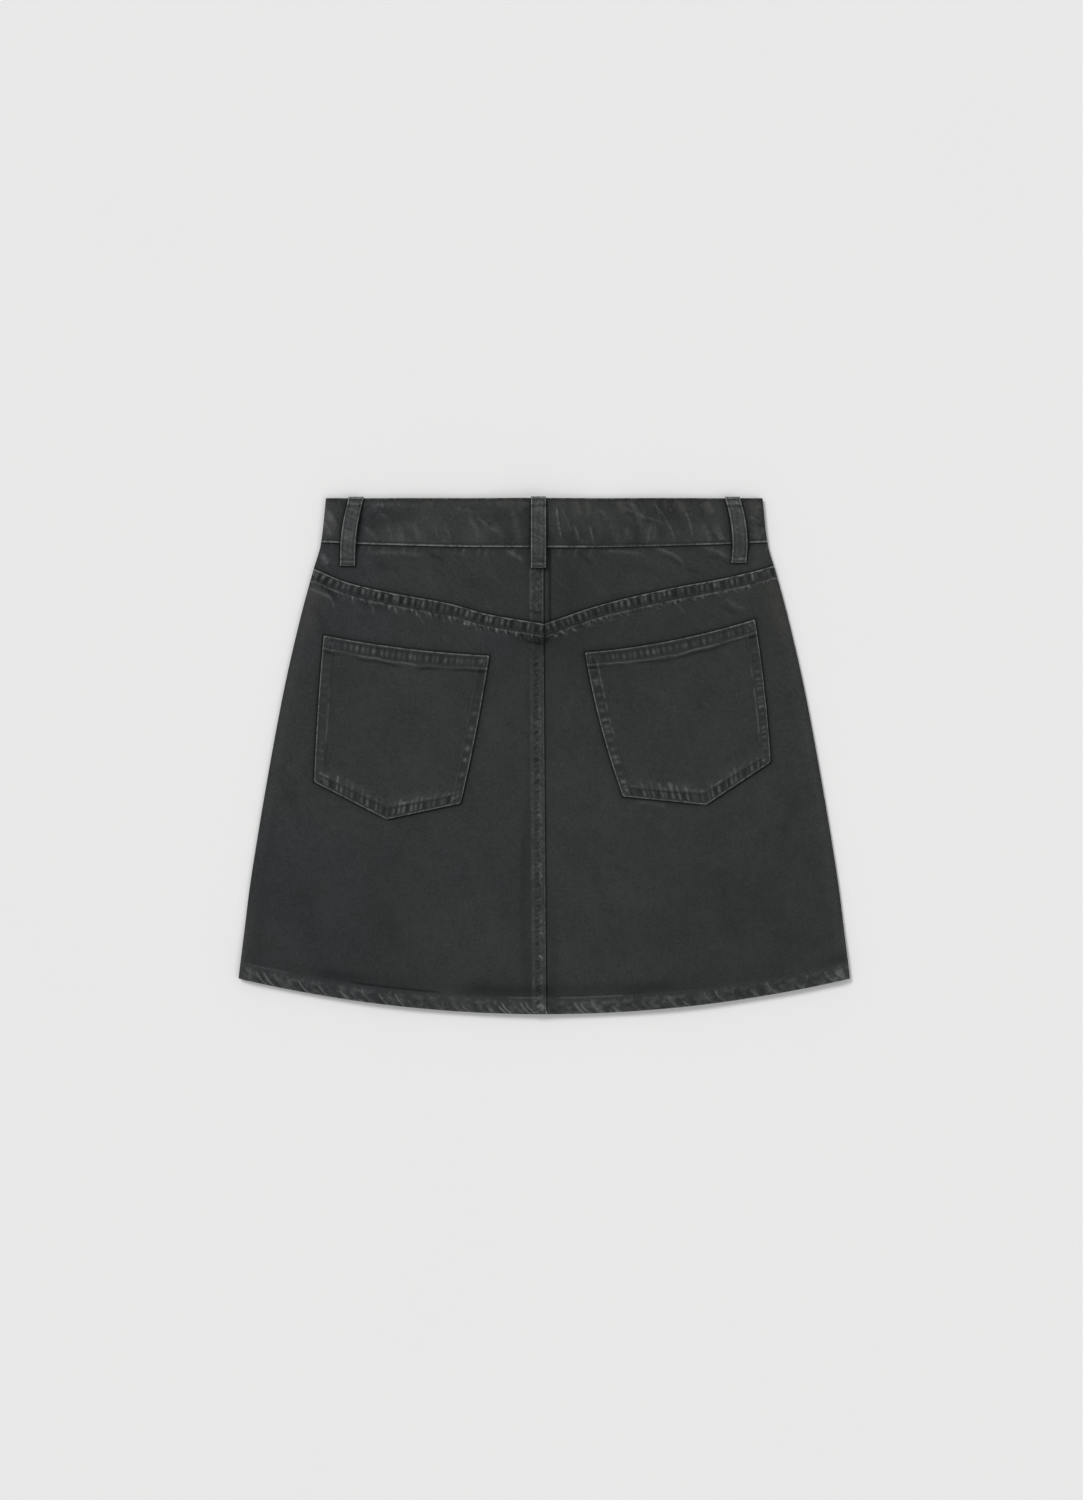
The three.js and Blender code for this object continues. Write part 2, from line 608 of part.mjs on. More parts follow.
// Patch pockets, made from the back's own points and moved out. Their turned edges are raised.
function pocketGeometry(pocket) {
  const corner = (name) => new THREE.Vector2(...pocket[name]);
  const [topInner, topOuter] = [corner("topInner"), corner("topOuter")];
  const [lowInner, lowOuter] = [corner("lowInner"), corner("lowOuter")];
  const point = corner("point");
  const width = topInner.distanceTo(topOuter);
  const height = topInner.distanceTo(lowInner);
  const toPoint = lowInner.distanceTo(point);
  const pointShare = toPoint / (toPoint + point.distanceTo(lowOuter));
  const rim = POCKET_TURNING / width;
  const columns = [
    { share: 0, rise: POCKET_EDGE_RISE },
    { share: rim, rise: POCKET_EDGE_RISE },
    { share: rim + STEP / width, rise: 0 },
    ...[0.22, 0.36, pointShare, 0.66, 0.8].map((share) => ({ share, rise: 0 })),
    { share: 1 - rim - STEP / width, rise: 0 },
    { share: 1 - rim, rise: POCKET_EDGE_RISE },
    { share: 1, rise: POCKET_EDGE_RISE },
  ].sort((a, b) => a.share - b.share);
  const hem = POCKET_HEM / height;
  const rows = [
    { share: 0, rise: POCKET_EDGE_RISE },
    { share: hem, rise: POCKET_EDGE_RISE },
    { share: hem + STEP / height, rise: 0 },
    ...[0.24, 0.4, 0.56, 0.72, 0.84].map((share) => ({ share, rise: 0 })),
    { share: 1 - (POCKET_TURNING + STEP) / height, rise: 0 },
    { share: 1 - POCKET_TURNING / height, rise: POCKET_EDGE_RISE },
    { share: 1, rise: POCKET_EDGE_RISE },
  ];
  const grid = columns.map((column) => {
    const u = column.share;
    const top = topInner.clone().lerp(topOuter, u);
    top.y -= pocket.sag * 4 * u * (1 - u);
    const bottom =
      u < pointShare
        ? lowInner.clone().lerp(point, u / pointShare)
        : point.clone().lerp(lowOuter, (u - pointShare) / (1 - pointShare));
    return rows.map((row) => {
      const bulge = 4 * row.share * (1 - row.share);
      const place = top.clone().lerp(bottom, row.share);
      place.x += Math.sign(point.x) * bulge * (pocket.outerBow * u - pocket.innerBow * (1 - u));
      const { x, y } = place;
      const under = backHeight(x, y) + CLOTH + GAP;
      const thick = CLOTH + Math.max(column.rise, row.rise);
      return {
        inner: new THREE.Vector3(x, y, under),
        outer: new THREE.Vector3(x, y, under + thick),
      };
    });
  });
  return wallGeometry(grid);
}
for (const [name, pocket] of Object.entries(POCKETS)) {
  addPiece(name, pocketGeometry(pocket), denim);
}

// Back belt loops: sewn to the yoke below and to the waistband's upper edge,
// and bowed out between them for the belt.
function backLoopGeometry(rows) {
  const centre = tableCurve(rows, "y", "x");
  const [low, high] = [rows[0].y, rows[rows.length - 1].y];
  const grid = [-1, -0.8, 0, 0.8, 1].map((side) =>
    Array.from({ length: LOOP_STEPS + 1 }, (_, i) => {
      const y = lerp(low, high, i / LOOP_STEPS);
      const middle = centre(y);
      const felled = Math.abs(middle) < LOOP_WIDTH ? FELL_RISE : 0;
      const onBand = smooth((y - bandLow(middle)) / LOOP_CLIMB + 1);
      const cloth = lerp(CLOTH + felled, BAND_CLOTH, onBand);
      const free = (y - low - LOOP_TACK) / (high - low - 2 * LOOP_TACK);
      const bow = LOOP_BOW * Math.sin(Math.PI * THREE.MathUtils.clamp(free, 0, 1));
      const under = backHeight(middle, Math.min(y, WAIST_Y)) + cloth + GAP + bow;
      const thinner = Math.abs(side) === 1 ? LOOP_EDGE : 0;
      const x = middle + (side * LOOP_WIDTH) / 2;
      return {
        inner: new THREE.Vector3(x, y, under + thinner),
        outer: new THREE.Vector3(x, y, under + LOOP_CLOTH - thinner),
      };
    }),
  );
  return wallGeometry(grid);
}
for (const [name, rows] of Object.entries(BACK_LOOPS)) {
  addPiece(name, backLoopGeometry(rows), denim);
}

// Front belt loops: pressed flat between the front and the surface.
function frontLoopGeometry(side) {
  const top = FRONT_LOOP_LOW + FRONT_LOOP_LENGTH;
  const grid = [-1, -0.8, 0.8, 1].map((aside) =>
    [FRONT_LOOP_LOW, FRONT_LOOP_LOW + 1, top - 1, top].map((y) => {
      const x = side * FRONT_LOOP_X + (aside * LOOP_WIDTH) / 2;
      const atEdge = Math.abs(aside) === 1 || y === FRONT_LOOP_LOW || y === top;
      return {
        outer: new THREE.Vector3(x, y, 0),
        inner: new THREE.Vector3(x, y, LOOP_CLOTH - (atEdge ? LOOP_EDGE : 0)),
      };
    }),
  );
  return wallGeometry(grid);
}
addPiece("loop_front_left", frontLoopGeometry(-1), denim);
addPiece("loop_front_right", frontLoopGeometry(1), denim);

// Button: a flat metal head on the surface, and a shank through the buttonhole up to the
// right waistband end.
const shankTop = BUTTON_LIFT + BAND_CLOTH;
const buttonProfile = [
  { r: 0, z: 0 },
  { r: BUTTON_R - BUTTON_EDGE, z: 0 },
  { r: BUTTON_R, z: BUTTON_EDGE },
  { r: BUTTON_R, z: BUTTON_HEAD - BUTTON_EDGE },
  { r: BUTTON_R - BUTTON_EDGE, z: BUTTON_HEAD },
  { r: BUTTON_SHANK_R, z: BUTTON_HEAD },
  { r: BUTTON_SHANK_R, z: shankTop },
  { r: 0, z: shankTop },
].map(({ r, z }) => new THREE.Vector2(r, z));
const button = new THREE.LatheGeometry(buttonProfile, 28);
button.deleteAttribute("normal");
button.deleteAttribute("uv");
button.rotateX(Math.PI / 2);
button.translate(BUTTON_X, BUTTON_Y, 0);
addPiece("button", facingOut(mergeVertices(button, 1e-4)), metal);

// Zip tape with its closed teeth, on the inside of the fronts. It rises over the pull tab.
const tapeColumns = [-ZIP_TAPE_HALF, -9.5, -6, -ZIP_TEETH_HALF - 0.4, -ZIP_TEETH_HALF]
  .concat([ZIP_TEETH_HALF, ZIP_TEETH_HALF + 0.4, 6, 9.5, ZIP_TAPE_HALF]);
const tapeTop = FRONT_BAND_LOW - 0.6;
const tapeYs = [ZIP_BOTTOM_Y, 78, PULL_LOW_Y - TAPE_RAMP, PULL_LOW_Y - 7, PULL_LOW_Y - 2]
  .concat([SLIDER_LOW_Y - 4, tapeTop]);
const tapeGrid = tapeColumns.map((aside) =>
  tapeYs.map((y) => {
    const up = smooth((y - PULL_LOW_Y + TAPE_RAMP) / (TAPE_RAMP - 2));
    const lift = ZIP_LIFT * smooth((10 - Math.abs(aside)) / 4) * up;
    const under = CLOTH + GAP + lift;
    const thick = Math.abs(aside) <= ZIP_TEETH_HALF ? ZIP_TEETH : ZIP_TAPE;
    return {
      outer: new THREE.Vector3(ZIP_X + aside, y, under),
      inner: new THREE.Vector3(ZIP_X + aside, y, under + thick),
    };
  }),
);
const sliderRoom = new THREE.BoxGeometry(
  SLIDER.width + 2 * GAP,
  SLIDER.length + 2 * GAP,
  SLIDER.height + 4,
);
sliderRoom.translate(ZIP_X, SLIDER.y, CLOTH + GAP + SLIDER.height / 2);
addPiece("zip_tape", cutAway(wallGeometry(tapeGrid), sliderRoom), tape);

// Zip slider: a body that narrows towards the closed teeth.
const sliderShape = new THREE.Shape();
sliderShape.moveTo(-SLIDER.width / 2, SLIDER.length / 2);
sliderShape.lineTo(-SLIDER.width / 2, 0);
sliderShape.lineTo(-SLIDER.width / 2 + SLIDER.taper, -SLIDER.length / 2);
sliderShape.lineTo(SLIDER.width / 2 - SLIDER.taper, -SLIDER.length / 2);
sliderShape.lineTo(SLIDER.width / 2, 0);
sliderShape.lineTo(SLIDER.width / 2, SLIDER.length / 2);
sliderShape.closePath();
const slider = new THREE.ExtrudeGeometry(sliderShape, {
  depth: SLIDER.height,
  bevelEnabled: false,
});
slider.translate(ZIP_X, SLIDER.y, CLOTH + GAP);
addPiece("zip_slider", slider, metal);

// Pull tab: folded down on the teeth, between them and the left front.
const tab = new THREE.BoxGeometry(PULL_TAB.width, PULL_TAB.length - GAP, PULL_TAB.thickness);
tab.translate(
  ZIP_X,
  (PULL_LOW_Y + SLIDER_LOW_Y - GAP) / 2,
  CLOTH + GAP + PULL_TAB.thickness / 2,
);
addPiece("zip_pull_tab", tab, metal);

export default skirt;
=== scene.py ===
import bpy
import numpy as np
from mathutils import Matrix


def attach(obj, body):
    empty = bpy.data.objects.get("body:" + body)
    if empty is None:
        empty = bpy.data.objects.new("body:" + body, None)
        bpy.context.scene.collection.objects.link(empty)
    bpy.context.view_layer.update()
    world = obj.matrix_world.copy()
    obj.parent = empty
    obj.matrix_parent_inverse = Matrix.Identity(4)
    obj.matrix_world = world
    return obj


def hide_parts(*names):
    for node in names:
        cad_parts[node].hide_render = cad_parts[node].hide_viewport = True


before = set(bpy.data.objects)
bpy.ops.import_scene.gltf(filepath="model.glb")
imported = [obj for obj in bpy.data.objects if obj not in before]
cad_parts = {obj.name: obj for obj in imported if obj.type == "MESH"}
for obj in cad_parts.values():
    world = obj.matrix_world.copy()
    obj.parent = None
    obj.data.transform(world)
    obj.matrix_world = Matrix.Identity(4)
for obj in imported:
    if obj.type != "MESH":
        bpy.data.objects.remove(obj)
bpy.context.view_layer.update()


# The denim is a steep twill of black warp over paler weft, washed until it greys where it
# stands proud. Every point of a piece keeps how far it has faded, and how far it is darkened
# by painted shade and by dye that has stayed dark between worn ridges.
class Tone:
    """A number that varies over a surface. Arithmetic on it adds Math nodes."""

    def __init__(self, finish, socket):
        self.finish = finish
        self.socket = socket

    def __add__(self, other):
        return self.finish.maths("ADD", self, other)

    def __sub__(self, other):
        return self.finish.maths("SUBTRACT", self, other)

    def __rsub__(self, other):
        return self.finish.maths("SUBTRACT", other, self)

    def __mul__(self, other):
        return self.finish.maths("MULTIPLY", self, other)

    __radd__ = __add__
    __rmul__ = __mul__


class Finish:
    """A material with one surface shader, whose nodes are added one by one."""

    def __init__(self, name, surface):
        self.material = bpy.data.materials.new(name)
        self.material.use_nodes = True
        self.tree = self.material.node_tree
        self.tree.nodes.clear()
        self.surface = self.node("ShaderNodeBsdfPrincipled", sockets=surface)
        self.node("ShaderNodeOutputMaterial", sockets={"Surface": self.surface.outputs[0]})

    def node(self, kind, settings=(), sockets=()):
        """Adds a node, with its settings first and then its sockets' values or links."""
        made = self.tree.nodes.new(kind)
        for key, value in dict(settings).items():
            setattr(made, key, value)
        for key, value in dict(sockets).items():
            self.feed(made.inputs[key], value)
        return made

    def feed(self, socket, value):
        """Links a tone or an output to a socket, or sets the socket's own value."""
        if isinstance(value, Tone):
            value = value.socket
        if isinstance(value, bpy.types.NodeSocket):
            self.tree.links.new(value, socket)
        else:
            socket.default_value = value

    def maths(self, operation, *values):
        """A Math node's result as a tone."""
        made = self.node("ShaderNodeMath", {"operation": operation}, enumerate(values))
        return Tone(self, made.outputs[0])

    def held(self, value):
        """A tone that is kept between 0 and 1."""
        return self.maths("MINIMUM", self.maths("MAXIMUM", value, 0.0), 1.0)

    def blend(self, factor, first, second):
        """A colour that goes from the first to the second as the factor goes from 0 to 1."""
        sockets = {0: factor, 6: first, 7: second}
        return self.node("ShaderNodeMix", {"data_type": "RGBA"}, sockets).outputs[2]

    def place(self, turn=0.0, stretch=(1, 1, 1)):
        """The point in millimetres, turned about Z by an angle in degrees, then stretched."""
        where = self.node("ShaderNodeTexCoord").outputs["Object"]
        turned = self.node(
            "ShaderNodeMapping",
            sockets={"Vector": where, "Rotation": (0, 0, np.radians(turn)), "Scale": (1000,) * 3},
        )
        sockets = {0: turned.outputs[0], 1: stretch}
        return self.node("ShaderNodeVectorMath", {"operation": "MULTIPLY"}, sockets).outputs[0]

    def noise(self, place, size, detail=2.0, curl=0.0):
        """Random tones from 0 to 1 that change over a size in millimetres, and may curl."""
        sockets = {"Vector": place, "Scale": 1 / size, "Detail": detail, "Distortion": curl}
        return Tone(self, self.node("ShaderNodeTexNoise", sockets=sockets).outputs[0])

    def kept(self, name):
        """A number that the piece keeps on its points."""
        made = self.node("ShaderNodeAttribute", {"attribute_name": name})
        return Tone(self, made.outputs["Fac"])

    def bump(self, height, strength):
        """Fine relief from a height in millimetres."""
        sockets = {"Height": height, "Strength": strength, "Distance": 0.001}
        relief = self.node("ShaderNodeBump", sockets=sockets).outputs[0]
        self.feed(self.surface.inputs["Normal"], relief)


TWILL_PITCH = 0.95
FLOAT_PITCH = 1.25
# Sine and cosine of the twill's slope of 60 degrees.
TWILL_SINE = 0.866
TWILL_COSINE = 0.5
GREEN_BLACK = (0.0192, 0.0216, 0.0204, 1)
BLUE_BLACK = (0.0186, 0.0206, 0.0222, 1)
FADED = (0.165, 0.171, 0.167, 1)
BROWNED = (0.062, 0.055, 0.043, 1)
# SHADOW is the near black that shade darkens to: painted shade, and dye that stayed in worn hollows.
SHADOW = (0.005, 0.0055, 0.0055, 1)


def denim(name, turn):
    """Twill: sines across and along steep lines give the weave. Fading is the piece's own wear,
    times the weave and a coarse grain, plus slow clouds, fine grain, slubs and even wear."""
    gloss = {"Roughness": 0.93, "Specular IOR Level": 0.13}
    finish = Finish(name, {**gloss, "Sheen Weight": 0.05, "Sheen Roughness": 0.45})
    place = finish.place(turn)
    split = finish.node("ShaderNodeSeparateXYZ", sockets={0: place})
    across = Tone(finish, split.outputs[0])
    along = Tone(finish, split.outputs[1])
    wear = finish.kept("wear")
    shade = finish.kept("shade")
    waver = finish.noise(place, 2.6)
    cloud = finish.noise(place, 42, 3)
    grain = finish.noise(place, 1.5, 4)
    speck = finish.noise(finish.place(turn + 40), 2.6, 3, 1.6)
    patch = finish.noise(place, 9, 3)
    slub = finish.noise(finish.place(turn, (1, 0.1, 1)), 1.6)
    steep = across * -TWILL_SINE + along * TWILL_COSINE
    lengthways = across * TWILL_COSINE + along * TWILL_SINE
    ribs = steep * (2 * np.pi / TWILL_PITCH) + waver * 2.5
    twill = finish.maths("SINE", ribs) * 0.5 + 0.5
    threads = lengthways * (2 * np.pi / FLOAT_PITCH) + waver * 5
    floats = finish.maths("SINE", threads) * 0.5 + 0.5
    weave = twill * (floats * 0.5 + 0.5)
    even = (cloud - 0.5) * 0.09 + (grain - 0.5) * 0.13 + (speck - 0.5) * 0.17 + (slub - 0.5) * 0.03
    even = even + (patch - 0.5) * 0.06 + weave * 0.06 + 0.047
    rubbed = wear * (weave * 0.6 + grain * 1.3 + speck * 0.9 - 0.35)
    amount = finish.held(even + rubbed)
    hue = finish.noise(finish.place(0), 30, 3) * 5.0 + finish.kept("cool") * 2.0 - 3.1
    dye = finish.blend(finish.held(hue), GREEN_BLACK, BLUE_BLACK)
    colour = finish.blend(amount, dye, FADED)
    colour = finish.blend(finish.kept("brown") * speck, colour, BROWNED)
    # Shade darkens the colour towards SHADOW: painted shade beside seams, edges, pockets and loops, mixed
    # with dye that has stayed dark between worn bars.
    painted_shade_and_dye = finish.maths("MINIMUM", shade * (speck * 0.6 + 0.6), 0.88)
    finish.feed(finish.surface.inputs["Base Color"], finish.blend(painted_shade_and_dye, colour, SHADOW))
    finish.bump(weave * 0.09 + grain * 0.16 + slub * 0.04, 0.9)
    return finish.material


# The two backs lie on the fronts. Each is cut from one layer, with a hem turned up twice below
# and a folded edge that is felled over the yoke above. The left one is felled over the right.
CLOTH = 1.1
GAP = 0.3
HALF_GAP = GAP / 2
STEP = 0.7
BACK_LEVEL = CLOTH + 0.5
FOLD_RUN = 8
HALF_HEM = 244.6
HALF_WAIST = 179
WAIST = 205.8
BAND_LOW = 166
BAND_CURVE = 4.4
YOKE_POINT = 105.2
SEAM_X = -0.2
SEAM_DRIFT = 2.2
FELL_WIDTH = 9.5
BACK_FELL_WIDTH = 11.2
FELL_RISE = 1.1
CROSS_RISE = 0.4
HEM_LOW = -206.8
HEM_ROUND = 2102
HEM_WIDTH = 14
HEM_CLOTH = 2.8
HEM_PUFF = 0.3
WAVE_WIDTH = 119
WAVE_HEIGHT = 0.35


def curve_through(places, values):
    """A cubic on each span of a table, whose slope at a row is that between the rows beside it."""
    places = np.array(places, float)
    values = np.array(values, float)
    rows = np.arange(len(places))
    before = np.maximum(rows - 1, 0)
    after = np.minimum(rows + 1, len(rows) - 1)
    slopes = (values[after] - values[before]) / (places[after] - places[before])

    def at(place):
        """The curve's value at a place, which is held to the table's ends."""
        place = np.clip(place, places[0], places[-1])
        i = np.clip(np.searchsorted(places, place) - 1, 0, len(rows) - 2)
        run = places[i + 1] - places[i]
        t = (place - places[i]) / run
        ends = (1 + 2 * t) * (1 - t) ** 2 * values[i] + t**2 * (3 - 2 * t) * values[i + 1]
        return ends + run * (t * (1 - t) ** 2 * slopes[i] - t**2 * (1 - t) * slopes[i + 1])

    return at


# By Y: half the skirt's width, the height of its side seam, and that of the back beside its fold.
# By the distance from the centre back: Y of the yoke seam on either side.
half_width = curve_through(
    [-178, -139, -100, -24, 53, 111, 149, 168, 206],
    [HALF_HEM, 239.8, 234.9, 222.5, 208.2, 194.9, 184.6, 179, 174.6],
)
side_places = [-207, -160, -120, 110, 150, 206]
side_seam = curve_through(side_places, [2.95, 2.9, 2.2, 2.2, 2.6, 2.9])
side_back = curve_through(side_places, [4.75, 4.7, 3.2, 3.2, 3.5, 3.6])
yoke_left = curve_through(
    [0, 46.6, 75.4, 123, 158.8, 184.5],
    [YOKE_POINT, 113.5, 121.5, 130.3, 138.9, 149.6],
)
yoke_right = curve_through(
    [0, 44.6, 99.6, 137.9, 168.5, 183],
    [YOKE_POINT, 120.4, 133.4, 140.6, 147.5, 151.7],
)


def smooth(value):
    """Soft step: three squares less two cubes of the value, held between 0 and 1."""
    t = np.clip(value, 0, 1)
    return t * t * (3 - 2 * t)


def lerp(first, second, share):
    """From the first value to the second as the share goes from 0 to 1."""
    return first * (1 - share) + second * share


def hem_edge(x):
    """The hem is a wide shallow curve: its lowest Y plus the square of X over its roundness."""
    return HEM_LOW + x**2 / HEM_ROUND


def band_low(x):
    """The waistband's lower edge: it rises with the square of X towards the sides."""
    return BAND_LOW + BAND_CURVE * (x / HALF_WAIST) ** 2


def yoke_seam(x):
    """The folded edge of the yoke seam, from its own table on each side of the centre back."""
    return np.where(x < SEAM_X, yoke_left(-x), yoke_right(x))


def back_seam(y):
    """X of the centre back seam: straight through the yoke, then drifting to the right."""
    below = np.clip((YOKE_POINT - y) / (YOKE_POINT - HEM_LOW), 0, 1)
    return SEAM_X + SEAM_DRIFT * below


# What lies under the backs: the front waistband, its belt loops, the lap of its ends, the button
# and the zip with its pull tab. Each of them lifts the backs by its own height.
FRONT_DROP = 8
FRONT_BAND = 37.5
FRONT_LOOP_X = 95
FRONT_LOOP_LENGTH = 54.6
FRONT_LOOP_STANDS = 0.6
FRONT_LOOP_REACH = 9
LAP_START = -33
LAP_END = 10
BUTTON_X = -14
BUTTON_CLEARANCE = 14.5
ZIP_X = -6
ZIP_LOW = 46
TAPE_HALF = 13
PULL_LOW = 122.5
PULL_SLOPE = 12
PULL_REACH = 5
CLEARANCE = 3
STACK_SLOPE = 46
SIDE_SLOPE = 42
HEM_SLOPE = 60
BAND_SLOPE = 24
OVER = {
    "hem": 3.15,
    "waistband": 1.25,
    "front loop": 3.2,
    "zip": 1.8,
    "pull tab": 3.8,
    "lap": 3.9,
    "button": 7,
}


def front_waist(x):
    """The front waist edge lies lower than the back one, most of all in the middle."""
    return WAIST - FRONT_DROP * (1 - (x / HALF_WAIST) ** 2)


def front_band_low(x):
    """The front waistband's lower edge lies one band below the waist edge."""
    return front_waist(x) - FRONT_BAND


front_loop_low = front_waist(FRONT_LOOP_X) + FRONT_LOOP_STANDS - FRONT_LOOP_LENGTH
button_y = WAIST - FRONT_DROP - FRONT_BAND / 2


def rise(height, beyond, slope):
    """A height that falls off softly over a slope, beyond the edge of what it clears."""
    return height * smooth(1 - beyond / slope)


def stack_rise(x, y, height, low_x, high_x, low_y):
    """The rise over a stack of layers between two X values, above a Y value."""
    aside = np.maximum(np.maximum(low_x - CLEARANCE - x, x - high_x - CLEARANCE), 0)
    return rise(height, np.hypot(aside, np.maximum(low_y - CLEARANCE - y, 0)), STACK_SLOPE)


def back_height(x, y):
    """Inner face of the back: the level of one layer, plus the sixth root of the sum of the
    sixth powers of all rises, plus shallow waves that grow towards the hem."""
    from_side = half_width(y) - FOLD_RUN - np.abs(x)
    from_button = np.hypot(x - BUTTON_X, y - button_y) - BUTTON_CLEARANCE
    near, far = FRONT_LOOP_X - FRONT_LOOP_REACH, FRONT_LOOP_X + FRONT_LOOP_REACH
    rises = [
        rise(side_back(y) - BACK_LEVEL, from_side, SIDE_SLOPE),
        rise(OVER["hem"], y - hem_edge(x) - HEM_WIDTH, HEM_SLOPE),
        rise(OVER["waistband"], front_band_low(x) - CLEARANCE - y, BAND_SLOPE),
        stack_rise(x, y, OVER["front loop"], near, far, front_loop_low),
        stack_rise(x, y, OVER["front loop"], -far, -near, front_loop_low),
        stack_rise(x, y, OVER["zip"], ZIP_X - TAPE_HALF, ZIP_X + TAPE_HALF, ZIP_LOW),
        stack_rise(x, y, OVER["pull tab"], ZIP_X - PULL_REACH, ZIP_X + PULL_REACH, PULL_LOW - PULL_SLOPE),
        stack_rise(x, y, OVER["lap"], LAP_START, LAP_END, front_band_low(x)),
        rise(OVER["button"], np.maximum(from_button, 0), STACK_SLOPE),
    ]
    highest = sum(height**6 for height in rises) ** (1 / 6)
    swing = 1 + np.cos(2 * np.pi * x / WAVE_WIDTH + 0.6)
    wave = WAVE_HEIGHT * swing * smooth((-60 - y) / 140) * smooth(from_side / 60)
    return BACK_LEVEL + highest + wave


def spaced(start, *stops):
    """Values from a start through each stop, in even steps of about the stop's own pitch."""
    values = [np.array([start], float)]
    for stop, pitch in stops:
        count = max(int(round(abs(stop - values[-1][-1]) / pitch)), 1)
        values.append(np.linspace(values[-1][-1], stop, count + 1)[1:])
    return np.concatenate(values)


def between(low, high, low_edge, high_edge, count):
    """Rows from a low edge to a high one: offsets from each edge, and even shares between."""
    share = np.linspace(0, 1, count + 2)[1:-1]
    middle = lerp(low[-1], high[0], share)
    return np.r_[low * 0, share, high * 0 + 1], np.r_[low, middle, high], low_edge, high_edge


def row_places(x, rows):
    """Y of each row at an X: a share of the way between two edges, plus an offset."""
    share, offset, low_edge, high_edge = rows
    return lerp(low_edge(x), high_edge(x), share) + offset


def settled(side, share, turn, rows, inner_x, shift=0):
    """X and Y of a layer's points, and the fold's X. A column is a share of the way from its
    inner edge to the fold, plus a shift, or on the fold's quarter ellipse. X and Y depend on
    each other, so they are found in eight rounds."""
    reach = np.sin(turn * np.pi / 2)
    y = np.zeros((len(side), len(rows[0])))
    for _ in range(8):
        fold_x = half_width(y) - FOLD_RUN
        x = lerp(inner_x(y), side * fold_x, share) + shift + side * FOLD_RUN * reach
        y = row_places(x, rows)
    return x, y, half_width(y) - FOLD_RUN


def lay_back(columns, rows, inner_x, faces):
    """Points of a layer on the back, whose faces lie at given heights above the back's inner
    face. Round the fold they come down a quarter ellipse to the side seam."""
    side, share, shift, turn = (np.array(part, float)[:, None] for part in columns)
    reach = np.sin(turn * np.pi / 2)
    lift = np.cos(turn * np.pi / 2)
    x, y, fold_x = settled(side, share, turn, rows, inner_x, shift)
    seam = side_seam(y) + HALF_GAP
    base = back_height(side * np.minimum(side * x, fold_x), y) - seam
    low, high = faces(x, y)
    inside_x = np.where(turn > 0, side * (fold_x + (FOLD_RUN - high + low) * reach), x)
    outer = np.stack([x, y, seam + (base + high) * lift], 2)
    inner = np.stack([inside_x, row_places(inside_x, rows), seam + (base + low) * lift], 2)
    return outer, inner


def rounded(distance, radius):
    """How far a quarter-round edge drops, at a distance in from the edge."""
    left = 1 - np.clip(distance / radius, 0, 1)
    return radius * (1 - np.sqrt(1 - left**2))


def line(distance, width):
    """A soft line: e to the power of minus the square of the distance over the width."""
    return np.exp(-((distance / width) ** 2))


RIPPLE_CELLS = 89
BAR_CHANCES = 499


def ripple(x, y, size, seed):
    """Smooth random values from -1 to 1, between random ones at the corners of square cells.
    With 0 for X or Y they change along the other alone."""
    table = np.random.default_rng(seed).uniform(-1, 1, (RIPPLE_CELLS, RIPPLE_CELLS))
    u, v = np.asarray(x / size), np.asarray(y / size)
    i, j = np.floor(u).astype(int), np.floor(v).astype(int)
    s, t = smooth(u - i), smooth(v - j)
    left, right = i % RIPPLE_CELLS, (i + 1) % RIPPLE_CELLS
    below, above = j % RIPPLE_CELLS, (j + 1) % RIPPLE_CELLS
    low = lerp(table[left, below], table[right, below], s)
    high = lerp(table[left, above], table[right, above], s)
    return lerp(low, high, t)


def blotches(x, y, size, seed, level=0, swing=1, top=1):
    """Uneven spots: a level plus a swing times the ripple, held between 0 and the top."""
    return np.clip(level + swing * ripple(x, y, size, seed), 0, top)


def stretch(x, start, end, soft):
    """1 from a start to an end, and softly down to 0 outside them."""
    return smooth((x - start) / soft + 0.5) * smooth((end - x) / soft + 0.5)


def window(value, start, start_run, end, end_run):
    """A soft step up from a start over its run, times one down to an end over a run of its own."""
    return smooth((value - start) / start_run) * smooth((end - value) / end_run)


def bars(along, pitch, seed, jitter=0.28):
    """Uneven bars along a seam, one in each step of the pitch: the distance from that bar, and
    three random numbers from 0 to 1 that are its own."""
    step = np.floor(along / pitch).astype(int)
    chance = np.random.default_rng(seed).random((4, BAR_CHANCES))[:, step % BAR_CHANCES]
    return along - (step + 0.5 + jitter * (2 * chance[0] - 1)) * pitch, *chance[1:]


def furrow(x, y, start, end, bow, width):
    """A soft curved line from start to end: its middle is bowed aside by a distance, and it
    fades to nothing at both ends."""
    (x0, y0), (x1, y1) = start, end
    length = np.hypot(x1 - x0, y1 - y0)
    ux, uy = (x1 - x0) / length, (y1 - y0) / length
    t = ((x - x0) * ux + (y - y0) * uy) / length
    aside = (y - y0) * ux - (x - x0) * uy - bow * 4 * t * (1 - t)
    return line(aside, width) * smooth(t * 4) * smooth((1 - t) * 4)


def furrowed(table, x, y, relief, wear, shade):
    """Relief, wear and shade with a table's furrows: each has a start, an end, a bow, a width,
    a depth, how dark it is and how pale."""
    for start, end, bow, width, depth, dark, pale in table:
        groove = furrow(x, y, start, end, bow, width)
        relief = relief - depth * groove
        shade = shade + dark * groove
        wear = wear + pale * groove * (0.75 + 0.25 * ripple(x, y, 2, 34))
    return relief, wear, shade


